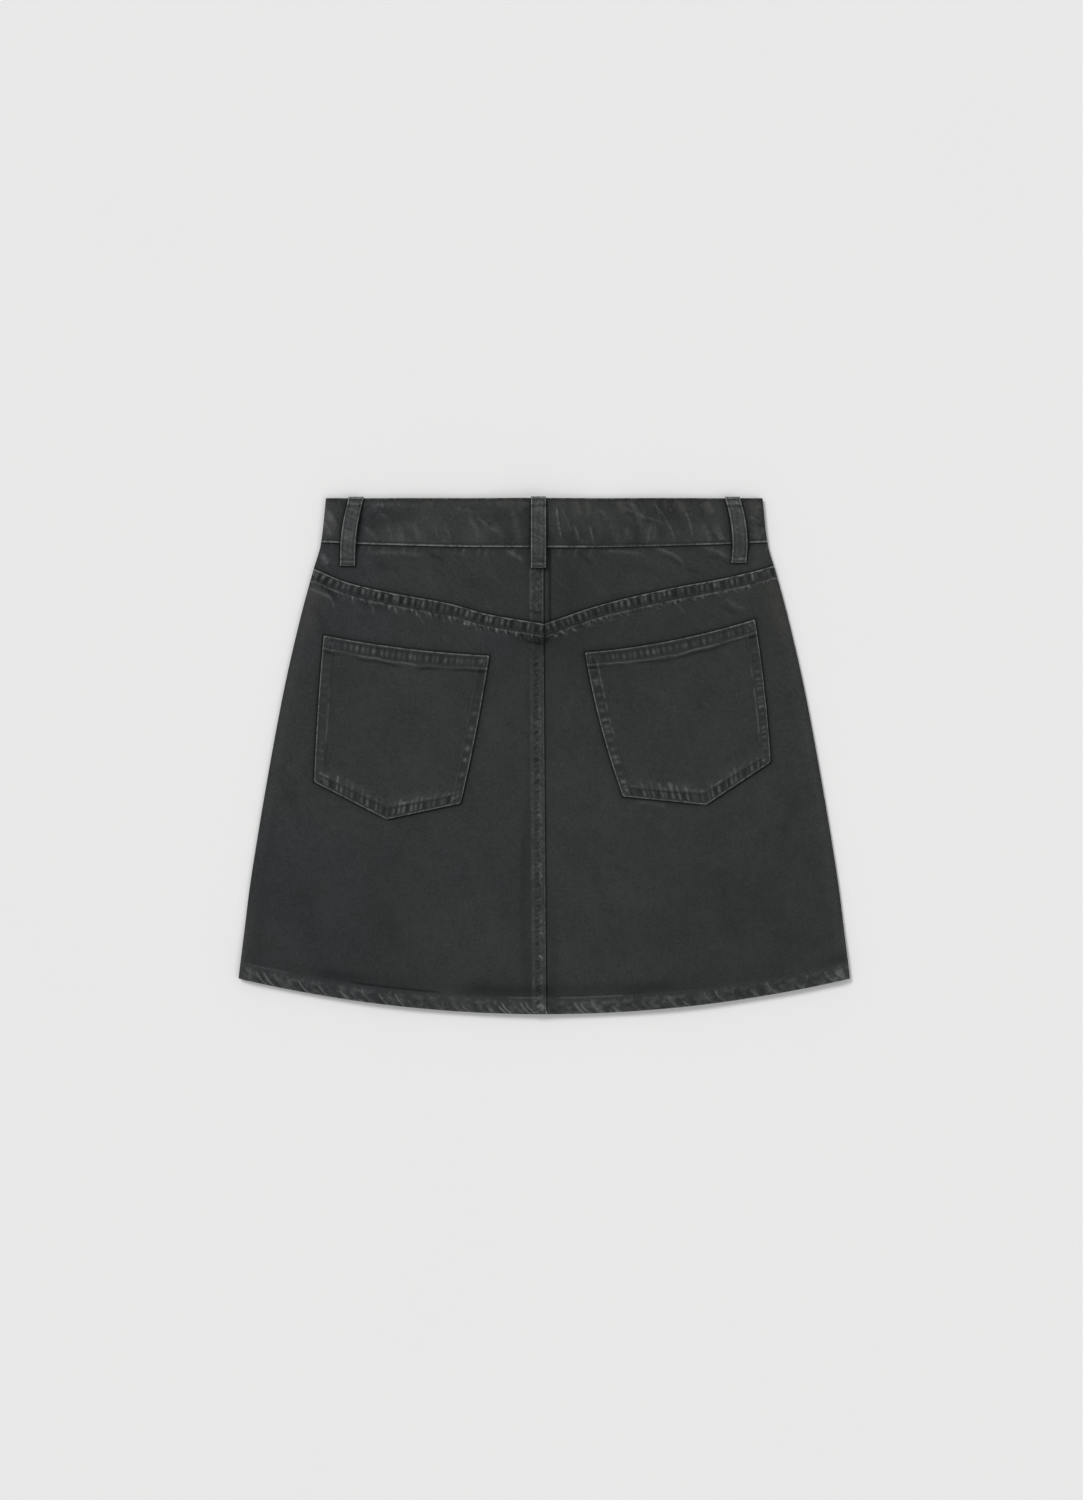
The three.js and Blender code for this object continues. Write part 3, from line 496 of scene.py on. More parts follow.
def from_outline(x, y, corners):
    """Distance outside a closed outline, and below 0 inside it. A point is inside when a line
    to its right crosses the outline an odd number of times."""
    nearest = np.full(np.shape(x), 1e9)
    inside = np.zeros(np.shape(x), bool)
    for (ax, ay), (bx, by) in zip(corners, np.roll(corners, -1, axis=0)):
        dx, dy = bx - ax, by - ay
        t = np.clip(((x - ax) * dx + (y - ay) * dy) / (dx**2 + dy**2), 0, 1)
        nearest = np.minimum(nearest, np.hypot(x - ax - t * dx, y - ay - t * dy))
        if dy:
            inside ^= ((ay > y) != (by > y)) & (x < ax + (y - ay) * dx / dy)
    return np.where(inside, -nearest, nearest)


LESS, MORE = slice(None, -1), slice(1, None)
CELL_CORNERS = [(LESS, LESS), (MORE, LESS), (MORE, MORE), (LESS, MORE)]


def shut(outer, inner):
    """A closed wall of two grids: triangles over each, and a strip round their four edges. The
    hidden inner grid keeps every fourth row and column, and its rim joins each outer edge to
    the nearest point that is kept."""
    across, along = outer.shape[:2]
    columns = np.unique(np.r_[np.arange(0, across, 4), across - 1])
    rows = np.unique(np.r_[np.arange(0, along, 4), along - 1])
    top = np.arange(across * along).reshape(across, along)
    under = across * along + np.arange(len(columns) * len(rows)).reshape(len(columns), len(rows))

    def cells(grid):
        """Two triangles for each cell of a grid of point numbers."""
        a, b, c, d = (grid[corner].ravel() for corner in CELL_CORNERS)
        return np.concatenate([np.stack([a, b, c], 1), np.stack([a, c, d], 1)])

    def ring(grid):
        """The numbers of the points along a grid's four edges, in turn."""
        return np.r_[grid[:-1, 0], grid[-1, :-1], grid[:0:-1, -1], grid[0, :0:-1]]

    around, beneath = ring(top), ring(under)
    steps = np.r_[np.diff(columns), np.diff(rows), np.diff(columns)[::-1], np.diff(rows)[::-1]]
    starts = np.r_[0, np.cumsum(steps)]
    switch = starts[:-1] + (steps + 1) // 2
    owner = np.searchsorted(switch, np.arange(len(around)), side="right") % len(beneath)
    upper = np.stack([around, beneath[owner], np.roll(around, -1)], 1)
    lower = np.stack([around[switch % len(around)], beneath, np.roll(beneath, -1)], 1)
    faces = np.concatenate([cells(top), cells(under)[:, ::-1], upper, lower])
    points = np.concatenate([outer.reshape(-1, 3), inner[np.ix_(columns, rows)].reshape(-1, 3)])
    a, b, c = (points[faces[:, i]] for i in range(3))
    return points, faces if (a * np.cross(b, c)).sum() > 0 else faces[:, ::-1]


def add_object(name, data):
    """A new object in the scene."""
    made = bpy.data.objects.new(name, data)
    bpy.context.scene.collection.objects.link(made)
    return made


def make_piece(name, points, faces, material, marks=()):
    """A mesh object from points in millimetres, with numbers kept on its first points."""
    mesh = bpy.data.meshes.new(name)
    faces = np.asarray(faces)
    size = faces.shape[1]
    mesh.vertices.add(len(points))
    mesh.loops.add(faces.size)
    mesh.polygons.add(len(faces))
    mesh.vertices.foreach_set("co", np.ravel(points * 0.001))
    mesh.loops.foreach_set("vertex_index", faces.ravel())
    mesh.polygons.foreach_set("loop_start", np.arange(len(faces)) * size)
    mesh.polygons.foreach_set("use_smooth", np.ones(len(faces), bool))
    mesh.update(calc_edges=True)
    for key, values in dict(marks).items():
        kept = np.zeros(len(points), np.float32)
        kept[: values.size] = values.ravel()
        mesh.attributes.new(key, "FLOAT", "POINT").data.foreach_set("value", kept)
    mesh.set_sharp_from_angle(angle=np.radians(55))
    mesh.materials.append(material)
    piece = add_object(name, mesh)
    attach(piece, "root")
    return piece


def bluer(x, y):
    """Where the dye has stayed bluer: above and below on the left side, along its far edge,
    and in two patches left of the centre."""
    cool = smooth((-100 - x) / 60) * np.maximum(smooth((-20 - y) / 60), smooth((y - 60) / 30))
    cool += 0.45 * line(x + 45, 40) * line(y + 95, 45) + 0.2 * smooth((-178 - x) / 12)
    return cool + 0.7 * line(x + 40, 26) * line(y - 92, 14)


def cloth(name, outer, inner, relief, wear, shade, material, brown=np.zeros(1)):
    """A cloth piece in a node's place: its outer face is raised by the relief. All the cloth is
    a little darker in a wide soft patch right of the yoke's point."""
    raised = outer.copy()
    raised[..., 2] += relief
    points, faces = shut(raised, inner)
    x, y = outer[..., 0], outer[..., 1]
    shade = shade + 0.18 * line(x - 28, 68) * line(y - 98, 50)
    marks = {"wear": wear, "shade": shade, "brown": brown, "cool": bluer(x, y)}
    marks = {key: np.clip(values, 0, 1) for key, values in marks.items()}
    piece = make_piece(name + "_cloth", points, faces, material, marks)
    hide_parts(name)
    return piece, raised


# The two patch pockets' corners, how far each opening sags, and how far the middles of its inner
# and outer sides are bowed out. The backs lie smooth along this outline, with a painted shadow round it.
POCKET_CORNERS = {
    "pocket_left": [(-43.9, 79.8), (-176.3, 96), (-184, -21.1), (-126.1, -51.1), (-66.8, -38.2)],
    "pocket_right": [(32.6, 82.3), (168.4, 108.9), (181, -5.3), (129.4, -39.5), (62.9, -32.7)],
}
POCKET_CURVES = {"pocket_left": (2.4, 1.2, 0.8), "pocket_right": (4.0, 2.8, 1.5)}


def pocket_plan(name, from_inner, from_top):
    """X and Y of a pocket's points, from shares across and down: between a sagging opening and
    a pointed lower edge, with both sides bowed out."""
    sag, inner_bow, outer_bow = POCKET_CURVES[name]
    top_inner, top_outer, low_outer, point, low_inner = np.array(POCKET_CORNERS[name], float)
    to_point = np.linalg.norm(point - low_inner)
    point_share = to_point / (to_point + np.linalg.norm(low_outer - point))
    u = from_inner[..., None]
    top = lerp(top_inner, top_outer, u)
    top[..., 1] -= sag * 4 * from_inner * (1 - from_inner)
    inner_part = lerp(low_inner, point, np.clip(u / point_share, 0, 1))
    outer_part = lerp(point, low_outer, np.clip((u - point_share) / (1 - point_share), 0, 1))
    bottom = np.where(u < point_share, inner_part, outer_part)
    plan = lerp(top, bottom, from_top[..., None])
    bulge = 4 * from_top * (1 - from_top) * lerp(-inner_bow, outer_bow, from_inner)
    return plan[..., 0] + np.sign(point[0]) * bulge, plan[..., 1]


def pocket_distance(x, y):
    """Distance outside the nearer pocket."""
    share = np.linspace(0, 1, 14)[:-1]
    around = np.r_[share, share * 0 + 1, 1 - share, share * 0]
    down = np.r_[share * 0, share, share * 0 + 1, 1 - share]
    outlines = [np.stack(pocket_plan(name, around, down), 1) for name in POCKET_CORNERS]
    return np.minimum(*(from_outline(x, y, outline) for outline in outlines))


SOFT_STEP = 2.4


def felled(down, width):
    """Share of a felled band's rise: whole near its ridge, then a soft slope about its width."""
    return smooth((width + SOFT_STEP / 2 - down) / SOFT_STEP)


def back_faces(x, y, left):
    """A back's faces: a single layer, with the felled bands standing proud, the hem's turning
    hanging below, and the folded edges rounded."""
    down = yoke_seam(x) - y
    up = y - hem_edge(x)
    aside = back_seam(y) - x
    yoke_band = felled(down, FELL_WIDTH)
    centre_band = felled(aside, BACK_FELL_WIDTH) if left else 0 * x
    hem = smooth((HEM_WIDTH + STEP - up) / STEP)
    proud = FELL_RISE * (np.maximum(yoke_band, centre_band) + CROSS_RISE * yoke_band * centre_band)
    proud = np.maximum(proud, HEM_PUFF * hem) + CROSS_RISE * np.minimum(proud, HEM_PUFF * hem)
    low = rounded(up, 0.9) - (HEM_CLOTH - HEM_PUFF - CLOTH) * hem
    high = CLOTH + proud - rounded(down - HALF_GAP, 0.8) - rounded(up, 1.1)
    high -= rounded(np.abs(aside) - HALF_GAP, 0.8 if left else 0.3)
    return low, high


def yoke_foot(x, down):
    """Where the seam is crossed at right angles, for a point below it."""
    slope = (yoke_seam(x + 1) - yoke_seam(x - 1)) / 2
    return x - slope * down


# Soft furrows in the backs: wrinkles below the yoke, and long shallow hollows in the skirt.
BACK_FURROWS = [
    ((-185, 141), (-164, 120), 2.0, 2.8, 0.28, 0.48, 0.0),
    ((-190, 124), (-174, 92), 4.0, 3.2, 0.18, 0.24, 0.0),
    ((-176, 131), (-168, 117), 2.0, 1.2, -0.10, 0.0, 0.22),
    ((-192, 134), (-168, 124), 1.5, 1.1, -0.12, 0.0, 0.36),
    ((-141, 126), (-137, 112), 1.5, 0.9, -0.10, 0.0, 0.26),
    ((-150, 121), (-118, 112), 2.0, 3.0, 0.16, 0.25, 0.0),
    ((-104, 115), (-97, 104), 1.5, 0.9, -0.10, 0.0, 0.14),
    ((141, 122), (158, 113), -2.0, 2.0, 0.20, 0.35, 0.0),
    ((144, 128), (162, 117), -2.0, 1.5, -0.10, 0.0, 0.14),
    ((104, 123), (112, 113), 1.0, 0.9, -0.10, 0.0, 0.14),
    ((-17, -50), (-16, -195), -1.0, 3.2, 0.10, 0.16, 0.0),
    ((70, -38), (100, -42), 2.5, 1.6, -0.10, 0.0, 0.16),
    ((-210, -20), (-196, -70), 5.0, 5.0, 0.18, 0.16, 0.0),
    ((206, -30), (190, -90), -5.0, 6.0, 0.18, 0.16, 0.0),
    ((-60, -60), (-30, -150), 8.0, 7.0, 0.18, 0.10, 0.0),
    ((40, -70), (75, -170), -9.0, 8.0, 0.18, 0.10, 0.0),
    ((-150, -90), (-120, -170), 7.0, 7.0, 0.18, 0.10, 0.0),
    ((140, -80), (165, -160), -7.0, 7.0, 0.18, 0.10, 0.0),
]


def yoke_band_marks(x, y, down):
    """The felled yoke seam: a pale broken ridge with painted shade under it, uneven pale bars between
    dark gaps of stayed dye and painted shade, and under its second row a thin pale line with short
    wisps that slant down into the panel."""
    foot = yoke_foot(x, down)
    outward = smooth((np.abs(x) - 95) / 50)
    aside, strong, wide, low = bars(foot, 4.9, 3, 0.30)
    bar = line(aside + 0.5 * ripple(foot, down, 2.2, 46), 0.7 + 0.6 * wide)
    reach = window(down, 1.0, 0.8, 5.6 + 2.6 * low, 2.2)
    inside = window(down, 0.8, 0.8, 9.4, 1.6)
    wave = 0.3 * ripple(foot, 0, 2.4, 5)
    ridge = line(down - 0.5 - wave, 0.5) * (0.80 + 2.0 * wave)
    wear = (0.92 + 0.36 * outward) * ridge + (0.04 + 0.50 * strong**1.4) * bar * reach
    second = line(down - 10.3 - 0.4 * ripple(foot, 0, 7, 16), 0.6)
    wear += (0.34 + 0.24 * outward) * second * blotches(foot, 0, 4, 17, 0.5)
    lean = np.where(foot > 0, 0.75, 0.30)
    slant, wisp, thin, far = bars(foot - (down - 10) * lean, 5.4, 18, 0.44)
    trail = window(down, 9.8, 0.8, 12.5 + 4 * far, 3)
    busy = 1 + 0.6 * stretch(foot, -90, 110, 30)
    wear += 0.62 * busy * wisp * line(slant, 0.6 + 0.5 * thin) * trail * blotches(x, y, 1.5, 42, 0.7)
    hair, lit, fine, long = bars(foot - (down - 10) * (lean + 0.3), 3.4, 47, 0.46)
    strand = window(down, 9.8, 0.8, 12 + 4.5 * long, 2.5) * busy
    wear += 0.26 * lit**1.5 * line(hair, 0.45 + 0.3 * fine) * strand
    grain, light, _, deep = bars(foot, 2.9, 8, 0.42)
    wear += 0.44 * light**2 * line(np.hypot(grain, down - 10.6 - 1.6 * deep), 0.75)
    dot, dark, *_ = bars(foot, 2.5, 4, 0.3)
    # Dark gaps between the bars, partly stayed dye and partly painted shade, and a painted shadow line
    # under the ridge.
    shade = (0.42 + 0.58 * wide) * (1 - line(aside, 1.7)) * inside + 0.42 * line(down - 1.7 - wave, 0.5)
    shade += (0.25 + 0.60 * dark) * line(dot, 0.8) * line(down - 8.6, 0.9)
    shade += 0.70 * light * line(grain - 1.3, 0.7) * line(down - 11.6 - deep, 1.1)
    gaps = busy * (1 - line(slant, 1.4)) * window(down, 10.2, 1.2, 15, 4)
    shade += 0.32 * gaps * blotches(x, y, 2.4, 43, 0.6)
    shade += 0.42 * fine * line(hair - 1.1, 0.6) * strand
    relief = 0.34 * (bar - 0.4) * reach + 0.14 * (line(slant, 1.5) - 0.4) * trail
    return relief, wear, shade


def hem_marks(x, up):
    """The roped hem: thin pale commas that slant down to the right and run out along the edge,
    some of them with a wide faint one, and a broken pale line over a painted soft shadow along its top."""
    curl = x - 8.5 * (1 - np.clip(up / 11, 0, 1)) ** 2
    aside, strong, wide, high = bars(curl, 8.8, 7, 0.46)
    reach = smooth((up + 0.2) / 0.5) * smooth((5.5 + 7 * high - up) / 3.5)
    comma = line(aside, 0.50 + 0.45 * wide * (1 - up / 16)) * reach
    broad, faint, *_ = bars(curl, 17, 27, 0.34)
    swell = line(broad, 3.2) * smooth((12.5 - up) / 3) * blotches(x, up, 2.5, 32, 0.6)
    mottled = blotches(x, up, 2.8, 33) * smooth((12 - up) / 3)
    wear = (0.05 + 0.90 * strong**1.7) * comma + 0.16 * faint * swell + 0.24 * mottled
    top = stretch(x, -28, -3, 6) + stretch(x, 12, 62, 8) + 0.7 * stretch(x, -238, -205, 8)
    wear += 0.34 * top * line(up - 13.2, 0.5) + 0.03 * smooth((13 - up) / 1.5)
    wear += 0.70 * line(up - 0.5, 0.8) * blotches(x, up, 2.3, 9, -0.05)
    shade = 0.22 * (1 - line(aside - 2.2, 2.6)) * smooth((10 - up) / 4)
    seam = stretch(x, -152, -84, 14) + 0.5 * stretch(x, -20, 130, 30) * blotches(x, 0, 23, 29, 0.5)
    # Painted soft shadow along and above the top of the hem's turning.
    shade += 0.62 * line(up - 14.4, 0.8) * seam
    shade += 0.40 * line(up - 18, 5) * blotches(x, 0, 41, 30, 0.35)
    relief = 0.34 * comma * (0.4 + strong) + 0.20 * swell * faint - 0.18 * line(up - 13.9, 1.2)
    return relief, wear, shade


def centre_band_marks(y, up, down, aside):
    """The felled centre back: two worn stripes with dark uneven marks between them, fading out
    below the yoke, where the layers cross, and worn to the weft where it meets the hem. Painted
    shade lies under the crossing and beside the band's left edge."""
    inside = window(aside, 0.3, 0.7, 12.4, 1.5)
    lower = smooth((down - 22) / 7)
    worn = (0.66 + 0.34 * ripple(0, y, 23, 12)) * (0.8 + 0.5 * ripple(aside, y, 1.7, 35))
    across, strong, wide, _ = bars(y + 0.45 * aside, 3.6, 11, 0.42)
    mark = line(across, 0.5 + 0.8 * wide) * line(aside - 6.0 - wide, 2.4)
    rough = blotches(aside, y, 1.5, 37, 0.55, 0.9, 1.4)
    fringe = blotches(aside, y, 3.5, 38, 0.6, 0.8, 1.2)
    wear = 0.07 * inside * lower * worn + 0.36 * line(aside - 4.2, 2.0) * lower * worn * rough
    wear += 0.15 * line(aside - 10.3, 1.0) * lower * worn * fringe
    wear += 0.24 * line(aside - 0.8, 0.5) * (0.6 + 0.4 * ripple(y, 0, 3, 20)) * lower
    spots, bright, *_ = bars(y - 0.5 * aside, 9.5, 31, 0.4)
    speck = line(spots, 1.0) * line(aside - 4.5, 2.6) * smooth((70 - y) / 160)
    wear += 0.80 * bright**2 * speck * blotches(aside, y, 1.4, 36, 0.6)
    wear += 0.66 * line(up - 6, 6.5) * line(aside - 5.2, 3.6) * (0.6 + 0.5 * ripple(aside, y, 1.8, 13))
    wear *= 1 - 0.6 * line(up - 19, 4.5)
    shade = (0.36 + 0.60 * strong) * mark * lower + 0.34 * line(aside - 1.9, 0.4) * lower
    shade += 0.45 * lower * inside * line(aside - 5.5, 3) * blotches(aside, y, 1.6, 39, -0.1)
    # Painted shadow under the crossing of the yoke seam.
    shade += 0.80 * line(down - 16.4, 0.9) * stretch(aside, 1, 13, 3)
    # Painted shade along and beside the band's left edge, more of it low down.
    shade += 0.14 * line(aside - 13, 1.4) * lower + 0.16 * line(aside - 16, 3) * smooth((-10 - y) / 60)
    relief = (0.12 * line(across + 2, 1.6) - 0.16 * mark) * inside - 0.15 * line(down - 16.4, 1.2) * inside
    return relief, wear, shade


def back_marks(x, y, left):
    """Relief, wear and shade of a back: those of its seams and hem, a painted shadow line round each
    pocket, painted shade where the seams cross, above the hem and right of the centre seam, and
    furrows."""
    down = yoke_seam(x) - y
    up = y - hem_edge(x)
    aside = back_seam(y) - x
    side_gap = half_width(y) - np.abs(x)
    from_pocket = pocket_distance(x, y)
    parts = [yoke_band_marks(x, y, down), hem_marks(x, up)]
    if left:
        parts.append(centre_band_marks(y, up, down, aside))
    relief, wear, shade = (sum(part) for part in zip(*parts))
    # Painted shadow of each pocket's raised edge on the back, round its outline.
    shade += 0.86 * line(from_pocket - 0.4, 1.0) + 0.16 * line(from_pocket - 1.5, 3.5)
    shade += 0.13 * smooth((-30 - y) / 110) * smooth((np.abs(x + 5) - 62) / 50)
    # Painted shadow below the place where the yoke seam crosses the centre back seam.
    crossing = line(x + 4, 15) * line(down - 13.5, 6) * smooth((down - 9.5) / 2)
    shade += 0.80 * crossing * blotches(x, y, 3, 40, 0.7, 0.5)
    # Painted soft shade above the hem's turning.
    shade += 0.46 * line(up - 19, 5) * line(x - 12, 36) * blotches(x, y, 9, 41, 0.8, 0.4)
    shade += 0.12 * line(up - 24, 9) * line(x + 52, 60)
    shade += 0.14 * line(side_gap - 7, 8) * smooth((-20 - y) / 60) * (x < 0)
    wear += 0.04 * line(side_gap - 5, 4) + 0.10 * line(side_gap - 1.5, 1) * smooth((-120 - y) / 30)
    wear += 0.50 * line(side_gap - 8, 5) * line(up - 6, 5) * blotches(x, y, 2.2, 26, 0.5)
    if not left:
        # Painted shadow right of the left back's felled edge, along and beside the centre seam.
        shade += 0.45 * line(aside + 0.4, 0.6) + 0.08 * line(aside, 6)
        shade += 0.45 * line(aside + 1.3, 1.6) * line(down - 8, 9)
        shade += 0.22 * line(aside + 6, 5) * smooth((-105 - y) / 40)
    relief, wear, shade = furrowed(BACK_FURROWS, x, y, relief, wear, shade)
    relief += 0.10 * ripple(x, y, 15, 14) + 0.05 * ripple(x, y, 5, 15)
    calm = smooth((from_pocket - 0.5) / 4) * smooth((down - 0.2) / 0.8)
    calm *= smooth(up / 0.8) * smooth(np.abs(aside) / 0.8)
    relief = relief * calm * smooth((side_gap - 1) / 6)
    return relief, wear, shade


BACK_STEPS = 213
FOLD_STEPS = 12


def side_columns(side, near):
    """Columns of a panel: near the inner edge by distance, then shares to the fold, then turns."""
    share = np.linspace(0, 1, BACK_STEPS + 1)[1:]
    turn = np.linspace(0, 1, FOLD_STEPS + 1)[1:]
    shares = np.r_[near * 0, share, turn * 0 + 1]
    shifts = np.r_[side * near, side * near[-1] * (1 - share), turn * 0]
    turns = np.r_[near * 0, share * 0, turn]
    return side + 0 * shares, shares, shifts, turns


def below_yoke(x):
    """The backs' upper edge, half a gap below the yoke seam."""
    return yoke_seam(x) - HALF_GAP


left_near = spaced(HALF_GAP, (1.2, 0.35), (12.6, 0.75))
right_near = spaced(HALF_GAP, (1.2, 0.35), (12.6, 1.05))
back_rows = between(
    spaced(0, (1.2, 0.3), (12.6, 0.95), (15.4, 0.45)),
    spaced(-16, (-1.2, 0.8), (0, 0.3)),
    hem_edge,
    below_yoke,
    count=262,
)
back_columns = {-1: side_columns(-1, left_near), 1: side_columns(1, right_near)}
backs = {}
for side, name in ((-1, "back_left"), (1, "back_right")):
    left = side < 0
    outer, inner = lay_back(back_columns[side], back_rows, back_seam, lambda x, y: back_faces(x, y, left))
    x, y = outer[..., 0], outer[..., 1]
    marks = back_marks(x, y, left)
    side_gap = half_width(y) - np.abs(x)
    browned = 0.48 * line(side_gap - 8, 7) * line(y - 118, 26)
    browned += 0.20 * line(side_gap - 5, 8) * smooth((-100 - y) / 40) * left
    backs[name] = cloth(name, outer, inner, *marks, denim(name + "_denim", side * 3), browned)
    "front_" + name[5:]


# The yoke is a shallow V of two halves between the backs and the waistband. Its lower edge is
# folded under the backs' edges, so it lies one layer lower, with painted shade along them.
# Belt loops cross it.
LOOP_WIDTH = 12
# Y and X of points up the middle of each back belt loop.
LOOP_LINES = {
    "loop_back_left": ([151.6, 170, 186.4, 206.8], [-157.4, -156.6, -154.6, -150.2]),
    "loop_back_centre": ([149.8, 206.8], [-4.6, -4.6]),
    "loop_back_right": ([154, 170, 191, 206.8], [155.6, 156.4, 154.1, 150.2]),
}
# Furrows and small ridges of the two yoke halves, in the same form as the backs' ones.
YOKE_FURROWS = [
    ((-146, 162), (-92, 160), 1.0, 1.8, -0.12, 0.0, 0.15),
    ((-32, 164), (-15, 154), 1.0, 1.7, -0.14, 0.0, 0.26),
    ((-179, 162), (-173, 152), 0.5, 2.2, -0.15, 0.0, 0.36),
    ((-93, 161), (-79, 154), 0.8, 1.3, 0.16, 0.42, 0.0),
    ((-139, 155), (-112, 148), -1.5, 2.6, 0.16, 0.20, 0.0),
    ((-62, 139), (-38, 128), 1.5, 3.0, 0.12, 0.14, 0.0),
    ((46, 163.5), (80, 161), 0.5, 1.3, -0.12, 0.0, 0.20),
    ((85, 166), (113, 152), 3.2, 1.2, -0.16, 0.0, 0.27),
    ((90, 160), (112, 149), 2.6, 1.6, 0.16, 0.34, 0.0),
    ((125, 167), (150, 157), 1.5, 1.3, -0.15, 0.0, 0.25),
    ((25, 164), (38, 151), 1.0, 1.6, 0.15, 0.28, 0.0),
    ((112, 149), (126, 144), 1.0, 1.2, 0.14, 0.42, 0.0),
    ((132, 160), (150, 151), 1.0, 1.5, 0.14, 0.28, 0.0),
    ((58, 153), (104, 142), 1.5, 3.2, 0.10, 0.17, 0.0),
    ((22, 172), (18, 108), 0.0, 10.0, 0.0, 0.14, 0.0),
]


def beside_loops(x, y):
    """How far outside the nearest back belt loop a point lies."""
    gaps = []
    for line_y, line_x in LOOP_LINES.values():
        aside = np.abs(x - curve_through(line_y, line_x)(y)) - LOOP_WIDTH / 2
        gaps.append(np.hypot(np.maximum(aside, 0), np.maximum(line_y[0] - y, 0)))
    return np.minimum.reduce(gaps)


def yoke_faces(x, y, left):
    """A yoke half's faces: one layer, and on the left the centre back's felled band."""
    aside = back_seam(y) - x
    band = felled(aside, BACK_FELL_WIDTH) if left else 0 * x
    high = CLOTH + FELL_RISE * band - rounded(np.abs(aside) - HALF_GAP, 0.8 if left else 0.3)
    return 0 * x, high


def yoke_marks(x, y, left):
    """Relief, wear and shade of a yoke half: painted shade along its seams, under the waistband
    and beside the loops.
    """
    above = y - yoke_seam(x)
    under = band_low(x) - y
    aside = back_seam(y) - x
    foot = yoke_foot(x, -above)
    from_loop = beside_loops(x, y)
    tuck, strong, *_ = bars(foot, 4.7, 3)
    pull, pulled, *_ = bars(x + 0.3 * under, 8.3, 21, 0.4)
    relief = 0.14 * (line(tuck, 1.6) - 0.5) * line(above - 1.5, 3)
    relief += 0.12 * line(pull, 2) * line(under - 2, 4)
    wear = 0.20 * pulled**2 * line(pull, 1.2) * line(under - 3, 3.4)
    # Painted shade under the backs' felled edge and the waistband's edge, and beside the loops.
    shade = 0.80 * line(above - 0.3, 1.1) + 0.20 * line(above - 2, 3) * (0.5 + 0.5 * strong)
    shade += 0.70 * line(under - 0.3, 0.9) + 0.16 * line(under - 1, 3.5)
    shade += 0.75 * line(from_loop - 0.5, 0.8) + 0.16 * line(from_loop - 1.5, 3)
    if left:
        in_band = window(aside, 0.6, 0.8, 11.6, 1.6)
        worn = blotches(aside, y, 1.9, 22, 0.5, 0.9)
        in_band *= smooth((above - 7) / 3)
        wear += 0.22 * in_band * worn + 0.18 * line(aside - 10.6, 0.8) + 0.20 * line(aside - 0.9, 0.5)
        shade += 0.12 * line(aside - 12.8, 1.2) + 0.30 * line(aside - 2.2, 0.5)
        dark_spots = blotches(aside, y, 2.3, 44, -0.1, -1)
        shade += 0.65 * line(above - 8.2, 1.3) * stretch(aside, 2, 12, 2) + 0.8 * in_band * dark_spots
    else:
        # Painted shade along and beside the centre seam, below the edge of the left yoke's felled band.
        shade += 0.50 * line(aside + 0.4, 0.6) + 0.85 * line(aside + 4.7, 0.9) + 0.10 * line(aside, 6)
    wear += 0.04 * blotches(x + 0.9 * y, 0.5 * y, 3.5, 45, -0.1) * smooth(under / 6)
    relief, wear, shade = furrowed(YOKE_FURROWS, x, y, relief, wear, shade)
    relief += 0.10 * ripple(x, y, 13, 23) + 0.04 * ripple(x, y, 5, 24)
    side_gap = half_width(y) - np.abs(x)
    calm = smooth(above / 1.2) * smooth(under / 1.2) * smooth(np.abs(aside) / 0.8)
    return relief * calm * smooth((side_gap - 1) / 6), wear, shade


def above_yoke(x):
    """The yoke's lower edge, half a gap above the seam."""
    return yoke_seam(x) + HALF_GAP


def below_band(x):
    """The yoke's upper edge, half a gap below the waistband."""
    return band_low(x) - HALF_GAP


yoke_rows = between(
    spaced(0, (1.6, 0.4)),
    spaced(-1.6, (0, 0.4)),
    above_yoke,
    below_band,
    count=46,
)
yokes = {}
for side, name in ((-1, "yoke_left"), (1, "yoke_right")):
    left = side < 0
    outer, inner = lay_back(back_columns[side], yoke_rows, back_seam, lambda x, y: yoke_faces(x, y, left))
    marks = yoke_marks(outer[..., 0], outer[..., 1], left)
    yokes[name] = cloth(name, outer, inner, *marks, denim(name + "_denim", side * 10))
    "front_" + name[5:]


# Two patch pockets, each one layer with its edges turned in and its opening hemmed, sewn round
# three sides. They are a little thicker along the turnings, where the fading is strongest.
POCKET_HEM = 10.4
POCKET_TURNING = 8.6
POCKET_EDGE_RISE = 0.6
TOP_CORNER = 1.2
LOW_CORNER = 2.0
# The seed of each pocket's marks, how its inner and outer sides have worn, and its grain's turn.
POCKET_WEAR = {"pocket_left": (31, "blobs", "plain"), "pocket_right": (41, "beads", "bars")}
POCKET_TURNS = {"pocket_left": -7, "pocket_right": 11}


def rounded_corner(first, second, radius):
    """Moves points near a square corner in, so that squares round its middle become circles.
    The two distances are from the corner's edges."""
    a = np.clip(radius - first, 0, None)
    b = np.clip(radius - second, 0, None)
    both = (a > 0) & (b > 0)
    scale = np.where(both, np.maximum(a, b) / np.maximum(np.hypot(a, b), 1e-9), 1)
    return np.where(both, radius - a * scale, first), np.where(both, radius - b * scale, second)


